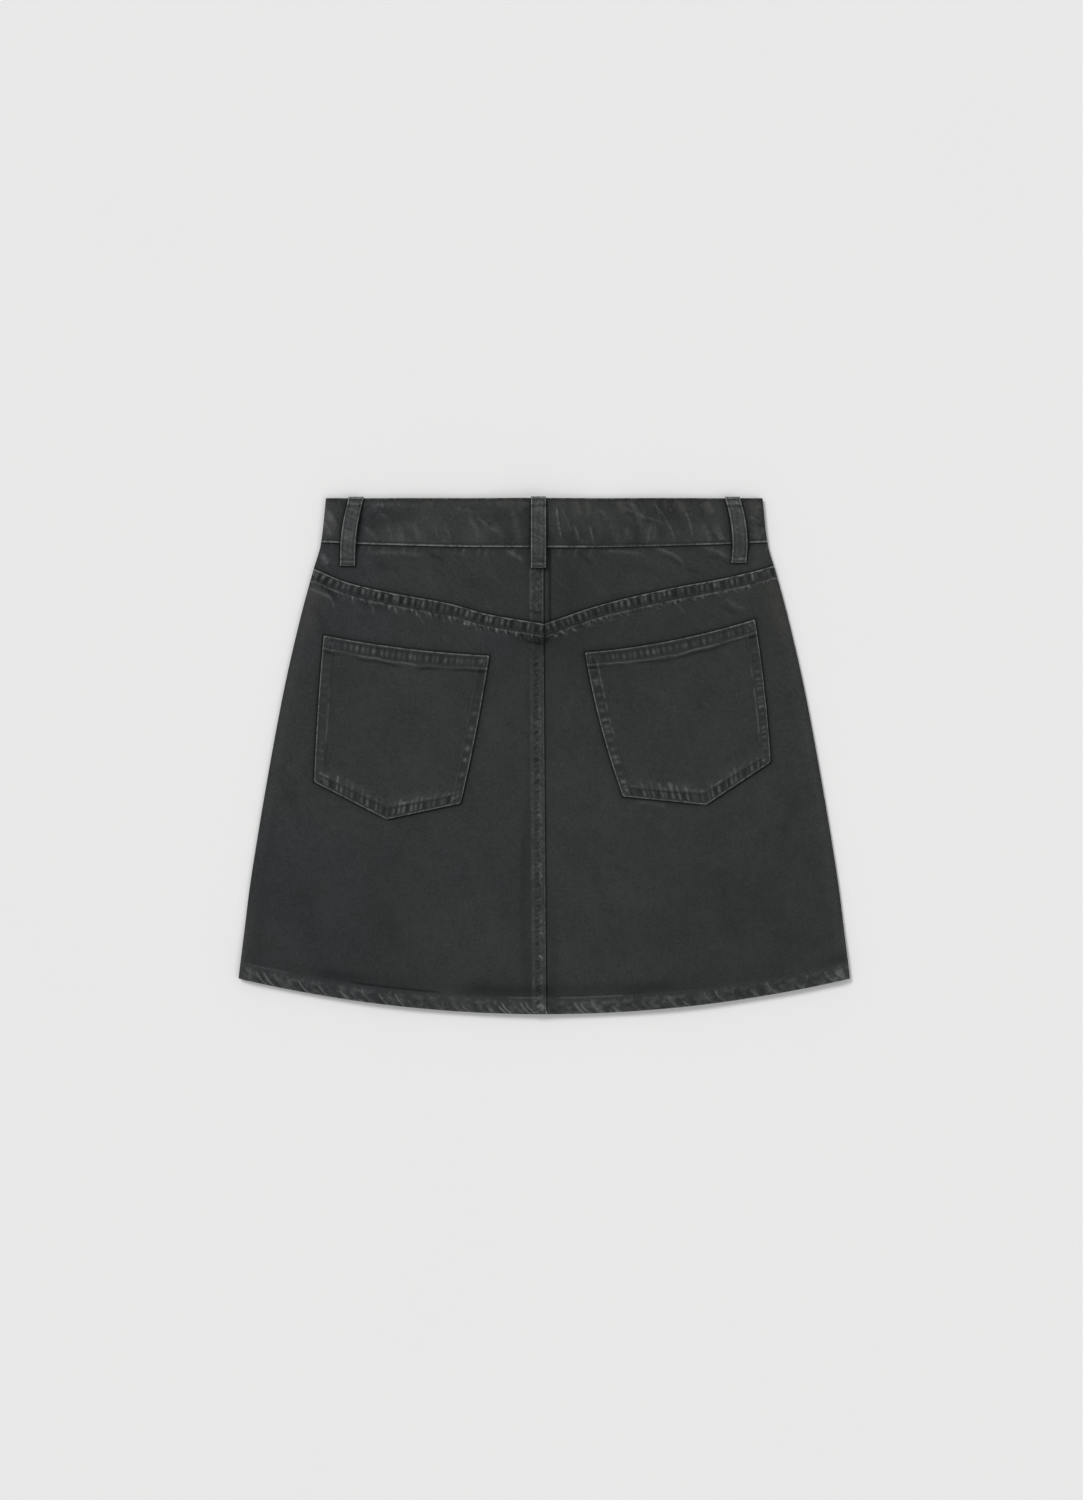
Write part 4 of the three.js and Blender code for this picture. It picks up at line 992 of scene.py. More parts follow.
def opening_marks(x, y, inward, downward, width, seed):
    """A pocket's hemmed opening: pale beads in the hem between dark gaps, and below it a pale
    line over a painted wavering shadow."""
    share = inward / width
    middle = window(share, 0.06, 0.1, 0.94, 0.1)
    worn = 0.7 + 0.3 * ripple(x, y, 22, seed + 3)
    aside, strong, wide, low = bars(inward, 4.7, seed)
    bead = line(np.hypot(aside, 0.72 * (downward - 5.0 - 0.9 * low)), 1.0 + 0.6 * wide)
    inside = window(downward, 1.6, 1, 9.3, 1)
    wear = (0.08 + 0.48 * strong) * bead * middle * worn
    fold = downward - 10.5 - 0.4 * ripple(inward, 0, 6, seed + 19)
    wear += 0.42 * line(fold, 0.6) * blotches(x, y, 9, seed + 1, 0.8, 0.6)
    shade = (0.34 + 0.44 * wide) * (1 - line(aside, 1.6)) * inside * worn
    shade += 0.45 * line(downward - 9.3, 0.5) + 0.30 * line(downward - 2.2, 0.8)
    # Painted wavering shadow under the opening's hem.
    waver = downward - 12.8 - 0.7 * ripple(inward, 0, 9, seed + 7)
    shade += 0.66 * line(waver, 1.1) * blotches(inward, 0, 16, seed + 9, 0.6, 0.9)
    return 0.26 * (bead - 0.3) * inside, wear, shade


def foot_marks(x, y, inward, up, from_side, seed):
    """A pocket's lower edge: pale bars at right angles to it that run on past its turning, and
    are broken by the dark second row of sewing."""
    aside, strong, wide, far = bars(inward, 5.3, seed + 2, 0.46)
    clear = smooth((from_side - 3) / 4)
    reach = window(up, 1.6, 1.2, 10 + 6 * far, 3.5) * clear
    bar = line(aside + 0.5 * ripple(inward, up, 3, seed + 17), 0.8 + 0.7 * wide) * reach
    worn = 0.7 + 0.3 * ripple(x, y, 18, seed + 10)
    wear = (0.03 + 0.62 * strong**1.5) * bar * worn * (1 - 0.85 * line(up - 7.6, 0.9))
    curl = np.hypot(from_side - 6.5, up - 7)
    wear += 0.30 * line(curl - 1.6, 1.3) * blotches(x, y, 2, seed + 18, 0.5)
    waver = up - 9.8 - 0.6 * ripple(inward, up, 3, seed + 20)
    brush = line(waver, 0.8) * blotches(inward, up, 4, seed + 21)
    wear += 0.50 * brush * clear + 0.05 * line(up - 12, 4) * clear * blotches(x, y, 2.4, seed + 22, 0.6)
    shade = (0.28 + 0.40 * wide) * (1 - line(aside, 1.9)) * window(up, 1.5, 1, 8.4, 1)
    shade = shade * clear + 0.50 * line(up - 7.6, 0.6) * clear
    return 0.30 * (bar - 0.35 * reach), wear, shade


def side_marks(x, y, gap, downward, height, seed, kind):
    """A pocket's side. Its turning shows as strong short bars, as beads, as loose blobs or
    hardly at all, because the two pockets have worn differently."""
    share = downward / height
    below = smooth((downward - 11) / 2) * smooth((height - downward - 7) / 3)
    pitch = {"bars": 5.0, "beads": 6.4, "blobs": 9.0, "plain": 7.0}[kind]
    aside, strong, wide, _ = bars(downward + 0.2 * gap, pitch, seed + 12, 0.36)
    inside = window(gap, 1.4, 1, 8.2, 1.2) * below
    worn = 0.75 + 0.25 * ripple(x, y, 17, seed + 13)
    if kind == "bars":
        mark = line(aside, 1.0 + 0.4 * wide) * window(gap, 1.4, 1, 7.6, 2) * below
        mark *= 0.35 + 0.65 * stretch(share, 0.34, 0.9, 0.16)
        wear = (0.06 + 0.38 * strong) * mark
        second = 0.24 * stretch(share, 0.30, 0.80, 0.1)
    elif kind == "beads":
        mark = line(np.hypot(aside, 0.6 * (gap - 4.6)), 1.6) * below
        wear = (0.08 + 0.44 * strong) * mark
        second = 0.36 * smooth((0.62 - share) / 0.1)
    elif kind == "blobs":
        mark = line(np.hypot(aside, 0.9 * (gap - 4.4)), 1.5 + wide) * below
        wear = (0.06 + 0.44 * strong**2) * mark * smooth((share - 0.25) / 0.1)
        second = 0.06
    else:
        mark = line(aside, 1.6) * inside
        wear = 0.10 * strong * mark
        second = 0.24 * window(share, 0.3, 0.1, 0.74, 0.1)
    wear = wear * worn + second * line(gap - 8.7, 0.7) * blotches(y, 0, 4, seed + 14, 0.7)
    deep = {"plain": 0.06, "bars": 0.26}.get(kind, 0.36)
    shade = deep * (1 - mark) * inside * worn + 0.16 * line(gap - 7.7, 0.5) * below
    shade += 0.20 * line(gap - 9.7, 0.6) * below * blotches(y, 0, 11, seed + 15, 0.4)
    return 0.16 * (mark - 0.3 * inside), wear, shade


def lay_pocket(name, inward, downward, width, height):
    """Points of a pocket's faces, a gap above the back, from distances inward and downward. Its
    corners are rounded, and it is thicker along its turnings and its opening's hem."""
    cut_in, cut_down = rounded_corner(inward, downward, TOP_CORNER)
    back_in, cut_down = rounded_corner(width - cut_in, cut_down, TOP_CORNER)
    back_in, up = rounded_corner(back_in, height - cut_down, LOW_CORNER)
    cut_in, up = rounded_corner(width - back_in, up, LOW_CORNER)
    x, y = pocket_plan(name, cut_in / width, 1 - up / height)
    from_edge = np.minimum(np.minimum(inward, width - inward), height - downward)
    turned = smooth((POCKET_TURNING + STEP - from_edge) / STEP)
    hemmed = smooth((POCKET_HEM + STEP - downward) / STEP)
    rim = np.minimum(from_edge, downward)
    under = back_height(x, y) + CLOTH + GAP
    high = CLOTH + POCKET_EDGE_RISE * np.maximum(turned, hemmed) - rounded(rim, 0.7)
    return np.stack([x, y, under + high], 2), np.stack([x, y, under + rounded(rim, 0.3)], 2)


def pocket_marks(name, x, y, inward, downward, width, height):
    """Relief, wear and shade of a pocket: those of its opening, foot and sides, a pale worn rim,
    three worn corners, and mottled tacks at both ends of the opening."""
    seed, inner_kind, outer_kind = POCKET_WEAR[name]
    up = height - downward
    from_side = np.minimum(inward, width - inward)
    rim = np.minimum(np.minimum(from_side, up), downward)
    parts = [
        opening_marks(x, y, inward, downward, width, seed),
        foot_marks(x, y, inward, up, from_side, seed),
        side_marks(x, y, inward, downward, height, seed, inner_kind),
        side_marks(x, y, width - inward, downward, height, seed + 5, outer_kind),
    ]
    relief, wear, shade = (sum(part) for part in zip(*parts))
    relief = (relief + 0.08 * ripple(x, y, 14, seed + 4)) * smooth(rim - 0.2)
    wear += 0.90 * line(rim - 0.4, 0.40) * (0.74 + 0.5 * ripple(x, y, 2.3, seed + 5))
    at_top = np.hypot(from_side, downward)
    at_low = np.hypot(inward - (width if name == "pocket_left" else 0), up)
    spots = 0.7 + 0.4 * ripple(x, y, 1.3, seed + 6)
    wear += (1.4 * line(at_top, 2.0) + 0.22 * line(at_top, 6) + 0.9 * line(at_low, 2.6)) * spots
    tack = smooth(8.4 - from_side) * window(downward, 1.4, 1, 9.4, 1)
    wear += 0.30 * tack * blotches(x, y, 1.6, seed + 16)
    shade += 0.40 * tack * blotches(x, y, 1.6, seed + 16, 0, -1)
    shade += 0.34 * line(np.hypot(from_side - 5, 0.7 * (downward - 11.5)), 3)
    shade += 0.34 * line(rim - 1.6, 0.5)
    return relief, wear, shade


pockets = {}
for name, corners in POCKET_CORNERS.items():
    width = np.hypot(*np.subtract(corners[1], corners[0]))
    height = np.hypot(*np.subtract(corners[4], corners[0]))
    far_edge = [(width - 10, 0.8), (width - 8.2, 0.4), (width - 1.2, 0.7), (width, 0.3)]
    low_edge = [(height - 14, 0.85), (height - 8.2, 0.6), (height - 1.2, 0.7), (height, 0.3)]
    across = spaced(0, (1.2, 0.3), (8.2, 0.7), (10, 0.4), *far_edge)
    down = spaced(0, (1.2, 0.3), (10, 0.8), (11.8, 0.4), *low_edge)
    inward, downward = np.meshgrid(across, down, indexing="ij")
    outer, inner = lay_pocket(name, inward, downward, width, height)
    marks = pocket_marks(name, outer[..., 0], outer[..., 1], inward, downward, width, height)
    piece, surface = cloth(name, outer, inner, *marks, denim(name + "_denim", POCKET_TURNS[name]))
    "back_" + name[7:]
    pockets[name] = (piece, surface, across, down)


# The fronts lie face down under the backs. Each is one layer with a hem turned up twice, and it
# rides over the front belt loop that is pressed flat under it.
LOOP_CLOTH = 1.8
LOOP_LIFT = LOOP_CLOTH + GAP
LIFT_RUN = 7
FRONT_HEM_INSET = 2.5
FRONT_STEPS = 86
FRONT_FOLD_STEPS = 6


def front_height(x, y):
    """Outer face of the front: on the floor, but raised over each front belt loop."""
    aside = np.abs(np.abs(x) - FRONT_LOOP_X) - LOOP_WIDTH / 2 - 1
    below = front_loop_low - 1 - y
    return LOOP_LIFT * smooth(1 - aside / LIFT_RUN) * smooth(1 - below / LIFT_RUN)


def front_hem(x):
    """The front hem lies just inside the back one."""
    return hem_edge(x) + FRONT_HEM_INSET * (1 - (x / HALF_HEM) ** 2)


def below_front_band(x):
    """The fronts' upper edge, half a gap below their waistband."""
    return front_band_low(x) - HALF_GAP


def lay_front(columns, rows, height, thick):
    """Points of a layer on the front: a column is at its own X, or between the last of them and
    the fold, or on the fold's quarter ellipse up to the side seam."""
    side, share, place, turn = (np.array(part, float)[:, None] for part in columns)
    reach = np.sin(turn * np.pi / 2)
    lift = np.cos(turn * np.pi / 2)
    x, y, fold_x = settled(side, share, turn, rows, lambda y: place)
    seam = side_seam(y) - HALF_GAP
    layer = thick(x, y)
    base = height(x, y)
    inside_x = np.where(turn > 0, side * (fold_x + (FOLD_RUN - layer) * reach), x)
    outer_z = np.where(turn > 0, seam - seam * lift, base)
    inner_z = np.where(turn > 0, seam + (layer - seam) * lift, base + layer)
    outer = np.stack([x, y, outer_z], 2)
    inner = np.stack([inside_x, row_places(inside_x, rows), inner_z], 2)
    return outer, inner


def front_columns(side, places, count):
    """Columns at given X distances, then shares to the fold, then turns round it."""
    share = np.linspace(0, 1, count + 1)[1:]
    turn = np.linspace(0, 1, FRONT_FOLD_STEPS + 1)[1:]
    shares = np.r_[places * 0, share, turn * 0 + 1]
    where = side * np.r_[places, share * 0 + places[-1], turn * 0]
    turns = np.r_[places * 0, share * 0, turn]
    return side + 0 * shares, shares, where, turns


def front_thickness(x, y):
    """One layer, and the turned hem's three below."""
    up = y - front_hem(x)
    return CLOTH + (HEM_CLOTH - CLOTH) * smooth((HEM_WIDTH + STEP - up) / STEP) - rounded(up, 0.5)


front_places = spaced(HALF_GAP, (148, 1.05))
front_rows = between(
    spaced(0, (1.2, 0.3), (14, 0.9), (16.4, 0.5)),
    spaced(-24, (0, 2.4)),
    front_hem,
    below_front_band,
    count=84,
)
for side, name in ((-1, "front_left"), (1, "front_right")):
    columns = front_columns(side, front_places, FRONT_STEPS)
    outer, inner = lay_front(columns, front_rows, front_height, front_thickness)
    x, y = outer[..., 0], outer[..., 1]
    up = y - front_hem(x)
    _, wear, shade = hem_marks(x + 211, up)
    # Painted shade along the fronts' upper edge, under the waistband.
    shade += 0.3 * line(front_band_low(x) - y, 1)
    cloth(name, outer, inner, 0 * x, wear, shade, denim(name + "_denim", side * 3))


# The waistband is one strip folded lengthways, 2.3 mm thick, with a thin pale line along its
# lower edge. Its back part runs from side seam to side seam. The wash has mottled and streaked it.
BAND_CLOTH = 2.3
BAND_STEPS = 225
# Slanted streaks in it and browned patches on it: start, end, bow, width and strength.
BAND_STREAKS = [
    ((-61, 193), (-52, 172), 1.0, 2.2, 0.38),
    ((-55, 192), (-35, 178), -1.0, 1.1, 0.52),
    ((-41, 186), (-33, 170), 1.0, 2.6, 0.38),
    ((-80, 188), (-74, 168), 0.5, 1.6, 0.32),
    ((-89, 185), (-84, 170), 0.5, 1.2, 0.28),
    ((-106, 187), (-100, 170), 1.0, 1.8, 0.28),
    ((-117, 188), (-112, 169), 0.5, 1.8, 0.28),
    ((-126, 186), (-121, 170), 0.5, 1.4, 0.28),
    ((-145, 184), (-133, 171), 1.0, 2.1, 0.42),
    ((-178, 200), (-165, 180), 1.0, 2.4, 0.62),
    ((-177, 190), (-168, 174), -1.0, 1.6, 0.50),
    ((-143, 201), (-92, 199), 0.5, 1.6, 0.22),
    ((-76, 199), (-48, 192), 0.5, 1.6, 0.24),
    ((-28, 202), (-19, 170), 1.0, 2.2, 0.24),
    ((10, 203), (15.5, 169), -1.5, 0.8, 0.80),
    ((23.5, 185), (28, 170), 0.5, 1.2, 0.55),
    ((35.5, 185), (39.5, 169), 0.5, 1.0, 0.62),
    ((65, 184), (68, 169), 0.5, 4.4, 0.28),
    ((83, 185), (87, 169), 0.5, 4.6, 0.42),
    ((86, 204), (106, 169), 2.0, 1.0, 0.56),
    ((80, 190), (99, 184), 1.0, 1.1, 0.30),
    ((109, 201), (119, 172), 2.0, 1.0, 0.50),
    ((64, 198), (84, 186), 1.5, 1.2, 0.36),
    ((40, 200), (52, 188), 1.0, 1.6, 0.30),
    ((12, 200), (22, 176), 1.0, 0.8, 0.30),
    ((126, 186), (134, 169), 0.5, 2.1, 0.36),
    ((137, 185), (143, 170), 0.5, 1.6, 0.32),
    ((163, 192), (173, 185), 0.5, 1.0, 0.52),
    ((166, 204), (174, 196), 0.5, 3.0, 0.42),
]
BAND_BROWNING = [
    ((23, 206), (29, 191), 0.5, 2.4, 0.55),
    ((33, 206), (36, 190), 0.5, 2.0, 0.40),
    ((58, 206), (65, 193), 0.5, 2.8, 0.65),
    ((95, 206), (98, 195), 0.5, 2.2, 0.50),
    ((68, 206), (72, 194), 0.5, 1.8, 0.75),
    ((106, 206), (111, 194), 0.5, 2.6, 0.65),
    ((128, 206), (135, 192), 0.5, 2.4, 0.90),
    ((-22, 206), (-40, 200), 0.5, 3.0, 0.40),
    ((-96, 206), (-88, 199), 0.5, 3.0, 0.45),
    ((-62, 206), (-52, 200), 0.5, 2.6, 0.40),
    ((-178, 207), (-171, 172), 0.5, 5.0, 0.50),
    ((162, 206), (172, 190), 0.5, 4.0, 0.34),
]
half_share = np.linspace(0, 1, BAND_STEPS + 1)[1:]
half_turn = np.linspace(0, 1, FOLD_STEPS + 1)[1:]
half_count = len(half_share) + len(half_turn)
band_side = np.repeat([-1.0, 1.0], [half_count + 1, half_count])
band_share = np.r_[half_turn * 0 + 1, half_share[::-1], 0, half_share, half_turn * 0 + 1]
band_turn = np.r_[half_turn[::-1], half_share * 0, 0, half_share * 0, half_turn]
band_columns = (band_side, band_share, band_share * 0, band_turn)


def above_band_seam(x):
    """The waistband's lower edge, half a gap above the yoke."""
    return band_low(x) + HALF_GAP


def waist(x):
    """The back waist edge is straight."""
    return WAIST + 0 * x


def band_faces(x, y):
    """The folded strip: rounded along the waist edge and the lower edge."""
    top = WAIST - y
    low = y - band_low(x) - HALF_GAP
    return rounded(top, 1.0) + 0 * x, BAND_CLOTH - rounded(top, 1.1) - rounded(low, 0.6)


def band_marks(x, y):
    """Relief, wear, shade and browning of the back waistband: a thin pale line over its seam, a
    worn waist edge, painted shade in its sewing holes, fine creases and slanted streaks with
    painted shade beside them, painted shadows beside the loops, and browned patches."""
    low = y - band_low(x)
    top = WAIST - y
    stitch_hole, *_ = bars(x, 2.4, 61, 0.1)
    from_loop = beside_loops(x, y)
    clouds = ripple(x, y, 19, 62) * 0.6 + ripple(x, y, 8, 63) * 0.4
    slanted = ripple(x + (y - 186) * 0.35, y * 0.35, 6, 64)
    crease = ripple(x + 0.45 * (y - 186), 0.6 * y, 9, 81) + 0.4 * ripple(x, y, 4, 82)
    creased = blotches(x, y, 14, 83, 0.35, 1.1)
    wear = 0.012 + 0.03 * line(x + 120, 40) + 0.05 * clouds
    wear += 0.05 * np.clip(slanted, 0, 1) * line(low - 8, 12)
    wear += 0.11 * line(crease, 0.12) * creased
    beaded = 1 - stretch(x, 36, 124, 12) * (0.35 + 0.55 * line(stitch_hole, 0.7))
    wear += 1.3 * line(low - 0.65, 0.68) * (0.70 + 0.5 * ripple(x, 0, 2.4, 65)) * beaded
    wear += 0.50 * line(top - 0.4, 0.8) * blotches(x, y, 2.6, 66, 0.45, 0.8)
    brown = 0.22 * line(top - 4, 5) * blotches(x, y, 12, 69, 0.4)
    # Darker towards the right, and painted shade along one side of each fine crease.
    shade = 0.13 * line(x - 112, 42) + 0.32 * line(crease - 0.26, 0.16) * creased
    shade += 0.20 * np.clip(-clouds, 0, 1) + 0.14 * np.clip(-slanted, 0, 1)
    # Painted shade in the sewing holes along both edges.
    shade += 0.85 * line(low - 2.1, 0.6) * line(stitch_hole, 0.8) + 0.25 * line(low - 2.1, 0.8)
    shade += 0.55 * line(top - 1.8, 0.6) * line(stitch_hole, 0.8) + 0.34 * line(top - 1.8, 0.8)
    # Painted shadows of the belt loops.
    shade += 0.75 * line(from_loop - 0.5, 0.8) + 0.22 * line(from_loop - 2, 3.5)
    relief = 0.10 * clouds + 0.09 * slanted + 0.04 * ripple(x, y, 4, 68)
    relief += 0.08 * (line(crease, 0.3) - 0.3) * creased
    for start, end, bow, width, light in BAND_STREAKS:
        ridge = furrow(x, y, start, end, bow, width) * (0.8 + 0.2 * ripple(x, y, 2.5, 70))
        relief += 0.28 * light * ridge
        strength = 0.60 if start[0] > 0 else 0.46
        wear += strength * light * ridge * blotches(x, y, 1.7, 84, 0.8, 0.5, 1.2)
        # Painted shade along one side of each raised streak.
        shade += 0.34 * light * furrow(x, y, start, end, bow + width * 1.7, width * 0.8)
    for start, end, bow, width, tint in BAND_BROWNING:
        patch = furrow(x, y, start, end, bow, width)
        brown += tint * patch
        wear += 0.20 * tint * patch
    calm = smooth(low / 1.6) * smooth(top / 1.6) * smooth((half_width(y) - np.abs(x) - 1) / 6)
    return np.minimum(relief, 0.25) * calm, wear, shade, brown


band_rows = between(
    spaced(0, (1.2, 0.3), (3.6, 0.5)),
    spaced(-2.6, (-1.2, 0.45), (0, 0.3)),
    above_band_seam,
    waist,
    count=36,
)
outer, inner = lay_back(band_columns, band_rows, lambda y: 0 * y, band_faces)
*marks, browned = band_marks(outer[..., 0], outer[..., 1])
band = cloth("waistband_back", outer, inner, *marks, denim("waistband_denim", 90), browned)


# The waistband's two front ends button over each other, the left one outermost. It has a
# keyhole buttonhole, and the right end lies on it and comes down beside it.
HOLE_RADIUS = 3.1
HOLE_OPENING = 0.194
HOLE_SLIT = 0.6
HOLE_LENGTH = 16.9


def band_front_height(x, y):
    """The left end's outer face: on the floor, raised over the belt loop and the button."""
    far = ((x - BUTTON_X) ** 4 + (y - button_y) ** 4) ** 0.25
    button = 2.8 * smooth(1 - (far - 9.5) / 8.5)
    return np.maximum(front_height(x, y), np.where(x < 0, button, 0))


def underlap_height(x, y):
    """The right end lies on the left one up to the centre, then comes down to the floor."""
    over = band_front_height(np.minimum(x, -HALF_GAP), y) + BAND_CLOTH + GAP
    down = smooth((x - 1) / (LAP_END - 1))
    return np.where(x < LAP_END, lerp(over, 0, down), front_height(x, y))


def ring_walls(count):
    """Four-sided faces between a ring of numbered points and the ring that follows it."""
    near = np.arange(count)
    after = np.roll(near, -1)
    return np.stack([near, after, after + count, near + count], 1)


def full_band(x, y):
    """Both folded layers."""
    edge = np.minimum(front_waist(x) - y, y - front_band_low(x) - HALF_GAP)
    return BAND_CLOTH - 2 * rounded(edge, 0.4)


def band_end_columns(side, start):
    """Columns from the end to the fold and round it. The start lies beyond the centre."""
    columns = front_columns(side, spaced(HALF_GAP, (36, 1.3), (80, 3), (110, 2), (148, 4)), 13)
    extra = -side * spaced(0, (side * -start, 1.2))[:0:-1] if start * side < 0 else np.zeros(0)
    lead = np.zeros(len(extra))
    return [np.r_[first, rest] for first, rest in zip((lead + side, lead, extra, lead), columns)]


front_band_rows = between(
    spaced(HALF_GAP, (HALF_GAP + 1.2, 0.4)),
    spaced(HALF_GAP - 1.2, (0, 0.35)),
    front_band_low,
    front_waist,
    count=24,
)
ends = {}
for side, name, start, height in (
    (-1, "waistband_front_left", -HALF_GAP, band_front_height),
    (1, "waistband_front_right", LAP_START, underlap_height),
):
    outer, inner = lay_front(band_end_columns(side, start), front_band_rows, height, full_band)
    x, y = outer[..., 0], outer[..., 1]
    wear = 0.01 + 0.5 * line(y - front_band_low(x) - 0.7, 0.5) + 0.3 * line(front_waist(x) - y - 0.5, 0.8)
    shade = 0.3 * line(y - front_band_low(x) - 2, 0.5)
    ends[name] = cloth(name, outer, inner, 0 * x, wear, shade, denim(name + "_denim", 90))

round_part = np.linspace(HOLE_OPENING - np.pi, np.pi - HOLE_OPENING, 25)
hole_x = np.r_[HOLE_RADIUS * np.cos(round_part), -HOLE_LENGTH, -HOLE_LENGTH]
hole_y = np.r_[HOLE_RADIUS * np.sin(round_part), HOLE_SLIT, -HOLE_SLIT]
ring = np.stack([BUTTON_X + hole_x, button_y + hole_y], 1)
count = len(ring)
hole_points = np.concatenate([np.c_[ring, np.full(count, -2.0)], np.c_[ring, np.full(count, 9.0)]])
caps = [list(range(count))[::-1], list(range(count, 2 * count))]
hole_mesh = bpy.data.meshes.new("buttonhole")
hole_mesh.from_pydata((hole_points * 0.001).tolist(), [], caps + ring_walls(count).tolist())
hole = add_object("buttonhole", hole_mesh)
left_end = ends["waistband_front_left"][0]
cut = left_end.modifiers.new("buttonhole", "BOOLEAN")
cut.operation = "DIFFERENCE"
cut.solver = "EXACT"
cut.object = hole
bpy.context.view_layer.update()
evaluated = left_end.evaluated_get(bpy.context.evaluated_depsgraph_get())
cut_mesh = bpy.data.meshes.new_from_object(evaluated)
left_end.modifiers.clear()
left_end.data = cut_mesh
bpy.data.objects.remove(hole)


# Belt loops: strips folded in three, 12 mm wide, sewn down at both ends. The back ones bow over
# the waistband, the front ones are pressed flat under the fronts.
def loop_marks(aside, up, length, seed):
    """Relief, wear and shade of a loop: pale edges and twill, a sunk middle, and tacked ends with
    painted shade beside them.
    """
    edge = LOOP_WIDTH / 2 - np.abs(aside)
    from_end = np.minimum(up, length - up)
    rib, strong, *_ = bars(up + 0.5 * aside, 2.9, seed, 0.3)
    relief = 0.14 * line(edge - 1.9, 1.3) - 0.06 * line(aside, 2) + 0.05 * ripple(aside, up, 3, seed)
    relief += 0.22 * line(up - length + 5.6, 1.1)
    wear = 0.05 + 0.95 * line(edge - 0.45, 0.5) * (0.65 + 0.4 * ripple(aside, up, 2.5, seed + 1))
    wear += 0.18 * strong * line(rib, 0.8) * smooth((edge - 1.2) / 0.8)
    wear += 0.18 * blotches(aside, up, 8, seed + 2) + 0.50 * line(from_end - 0.5, 0.6)
    patchy = blotches(aside, up, 1.8, seed + 4, 0.6, 0.8)
    wear += (0.35 * line(up - length + 5.4, 0.9) + 0.34 * line(up - 3.2, 0.8)) * patchy
    wear += 0.60 * line(np.hypot(edge, length - up), 2.4) + 0.5 * line(length - up - 1, 1.2) * patchy
    wear += 0.12 * line(edge - 3.4, 1.2) * patchy * smooth((up - 6) / 3)
    shade = 0.62 * line(edge - 1.7, 0.5) * (0.7 + 0.3 * ripple(up, 0, 1.3, seed + 3))
    # Painted shade beside the tacks at both ends.
    shade += 0.55 * line(up - length + 7.6, 1.1) + 0.4 * line(up - 5.0, 0.7) + 0.30 * line(up - 1.8, 0.5)
    return relief * smooth(edge / 0.8) * smooth(from_end / 0.8), wear, shade


loops = {}
loop_aside = np.r_[-spaced(0, (4.4, 0.7), (6, 0.3))[:0:-1], spaced(0, (4.4, 0.7), (6, 0.3))]
for number, (name, (line_y, line_x)) in enumerate(LOOP_LINES.items()):
    middle_at = curve_through(line_y, line_x)
    bottom, length = line_y[0], line_y[-1] - line_y[0]
    ups = spaced(0, (1.2, 0.3), (length - 1.2, 0.62), (length, 0.3))
    aside, up = np.meshgrid(loop_aside, ups, indexing="ij")
    y = bottom + up
    middle = middle_at(y)
    seam_layer = FELL_RISE if number == 1 else 0
    under_cloth = lerp(CLOTH + seam_layer, BAND_CLOTH, smooth((y - band_low(middle)) / 7 + 1))
    bow = 2.4 * np.sin(np.pi * np.clip((up - 5) / (length - 10), 0, 1))
    under = back_height(middle, np.minimum(y, WAIST)) + under_cloth + GAP + bow
    edge = np.minimum(LOOP_WIDTH / 2 - np.abs(aside), np.minimum(up, length - up))
    outer = np.stack([middle + aside, y, under + LOOP_CLOTH - rounded(edge, 0.7)], 2)
    inner = np.stack([middle + aside, y, under + rounded(edge, 0.5)], 2)
    marks = loop_marks(aside, up, length, 71 + 10 * number)
    lean = np.degrees(np.arctan2(line_x[-1] - line_x[0], length))
    loops[name] = cloth(name, outer, inner, *marks, denim(name + "_denim", lean))

length = FRONT_LOOP_LENGTH
ups = spaced(0, (1.2, 0.4), (length - 1.2, 1.4), (length, 0.4))
aside, up = np.meshgrid(loop_aside, ups, indexing="ij")
for side, name in ((-1, "loop_front_left"), (1, "loop_front_right")):
    edge = np.minimum(LOOP_WIDTH / 2 - np.abs(aside), np.minimum(up, length - up))
    x = side * FRONT_LOOP_X + aside
    y = front_loop_low + up
    outer = np.stack([x, y, rounded(edge, 0.4)], 2)
    inner = np.stack([x, y, LOOP_CLOTH - rounded(edge, 0.4)], 2)
    _, wear, shade = loop_marks(aside, up, length, 101)
    loops[name] = cloth(name, outer, inner, 0 * x, wear, shade, denim(name + "_denim", 0))


# The fly has a zip: woven tape with metal teeth, a slider and a pull tab, all of which lie
# inside, between the fronts and the backs. A plain metal button closes the waistband above it.
STEEL = (0.34, 0.33, 0.31)
TAPE_BLACK = (0.012, 0.012, 0.013, 1)
TAPE_PALE = (0.03, 0.03, 0.032, 1)


def metal(name, colour):
    """Worn metal: noise in its colour and roughness, and fine scratches as relief."""
    finish = Finish(name, {"Metallic": 1.0, "Roughness": 0.4})
    place = finish.place()
    wear = finish.noise(place, 2.2, 4)
    scratch = finish.noise(finish.place(25, (1, 0.08, 1)), 0.4, 3)
    dark = tuple(part * 0.45 for part in colour) + (1,)
    finish.feed(finish.surface.inputs["Base Color"], finish.blend(wear, dark, colour + (1,)))
    finish.feed(finish.surface.inputs["Roughness"], wear * 0.3 + 0.25)
    finish.bump(scratch * 0.03, 0.5)
    return finish.material


def tape(name):
    """Woven tape: fine ribs across it, with a little noise in its dark colour."""
    finish = Finish(name, {"Roughness": 0.9, "Specular IOR Level": 0.2})
    split = finish.node("ShaderNodeSeparateXYZ", sockets={0: finish.place()})
    ribs = finish.maths("SINE", Tone(finish, split.outputs[1]) * (2 * np.pi / 0.8)) * 0.5 + 0.5
    fluff = finish.noise(finish.place(), 0.7)
    finish.feed(
        finish.surface.inputs["Base Color"],
        finish.blend(ribs * 0.5 + fluff * 0.5, TAPE_BLACK, TAPE_PALE),
    )
    finish.bump(ribs * 0.1, 0.6)
    return finish.material


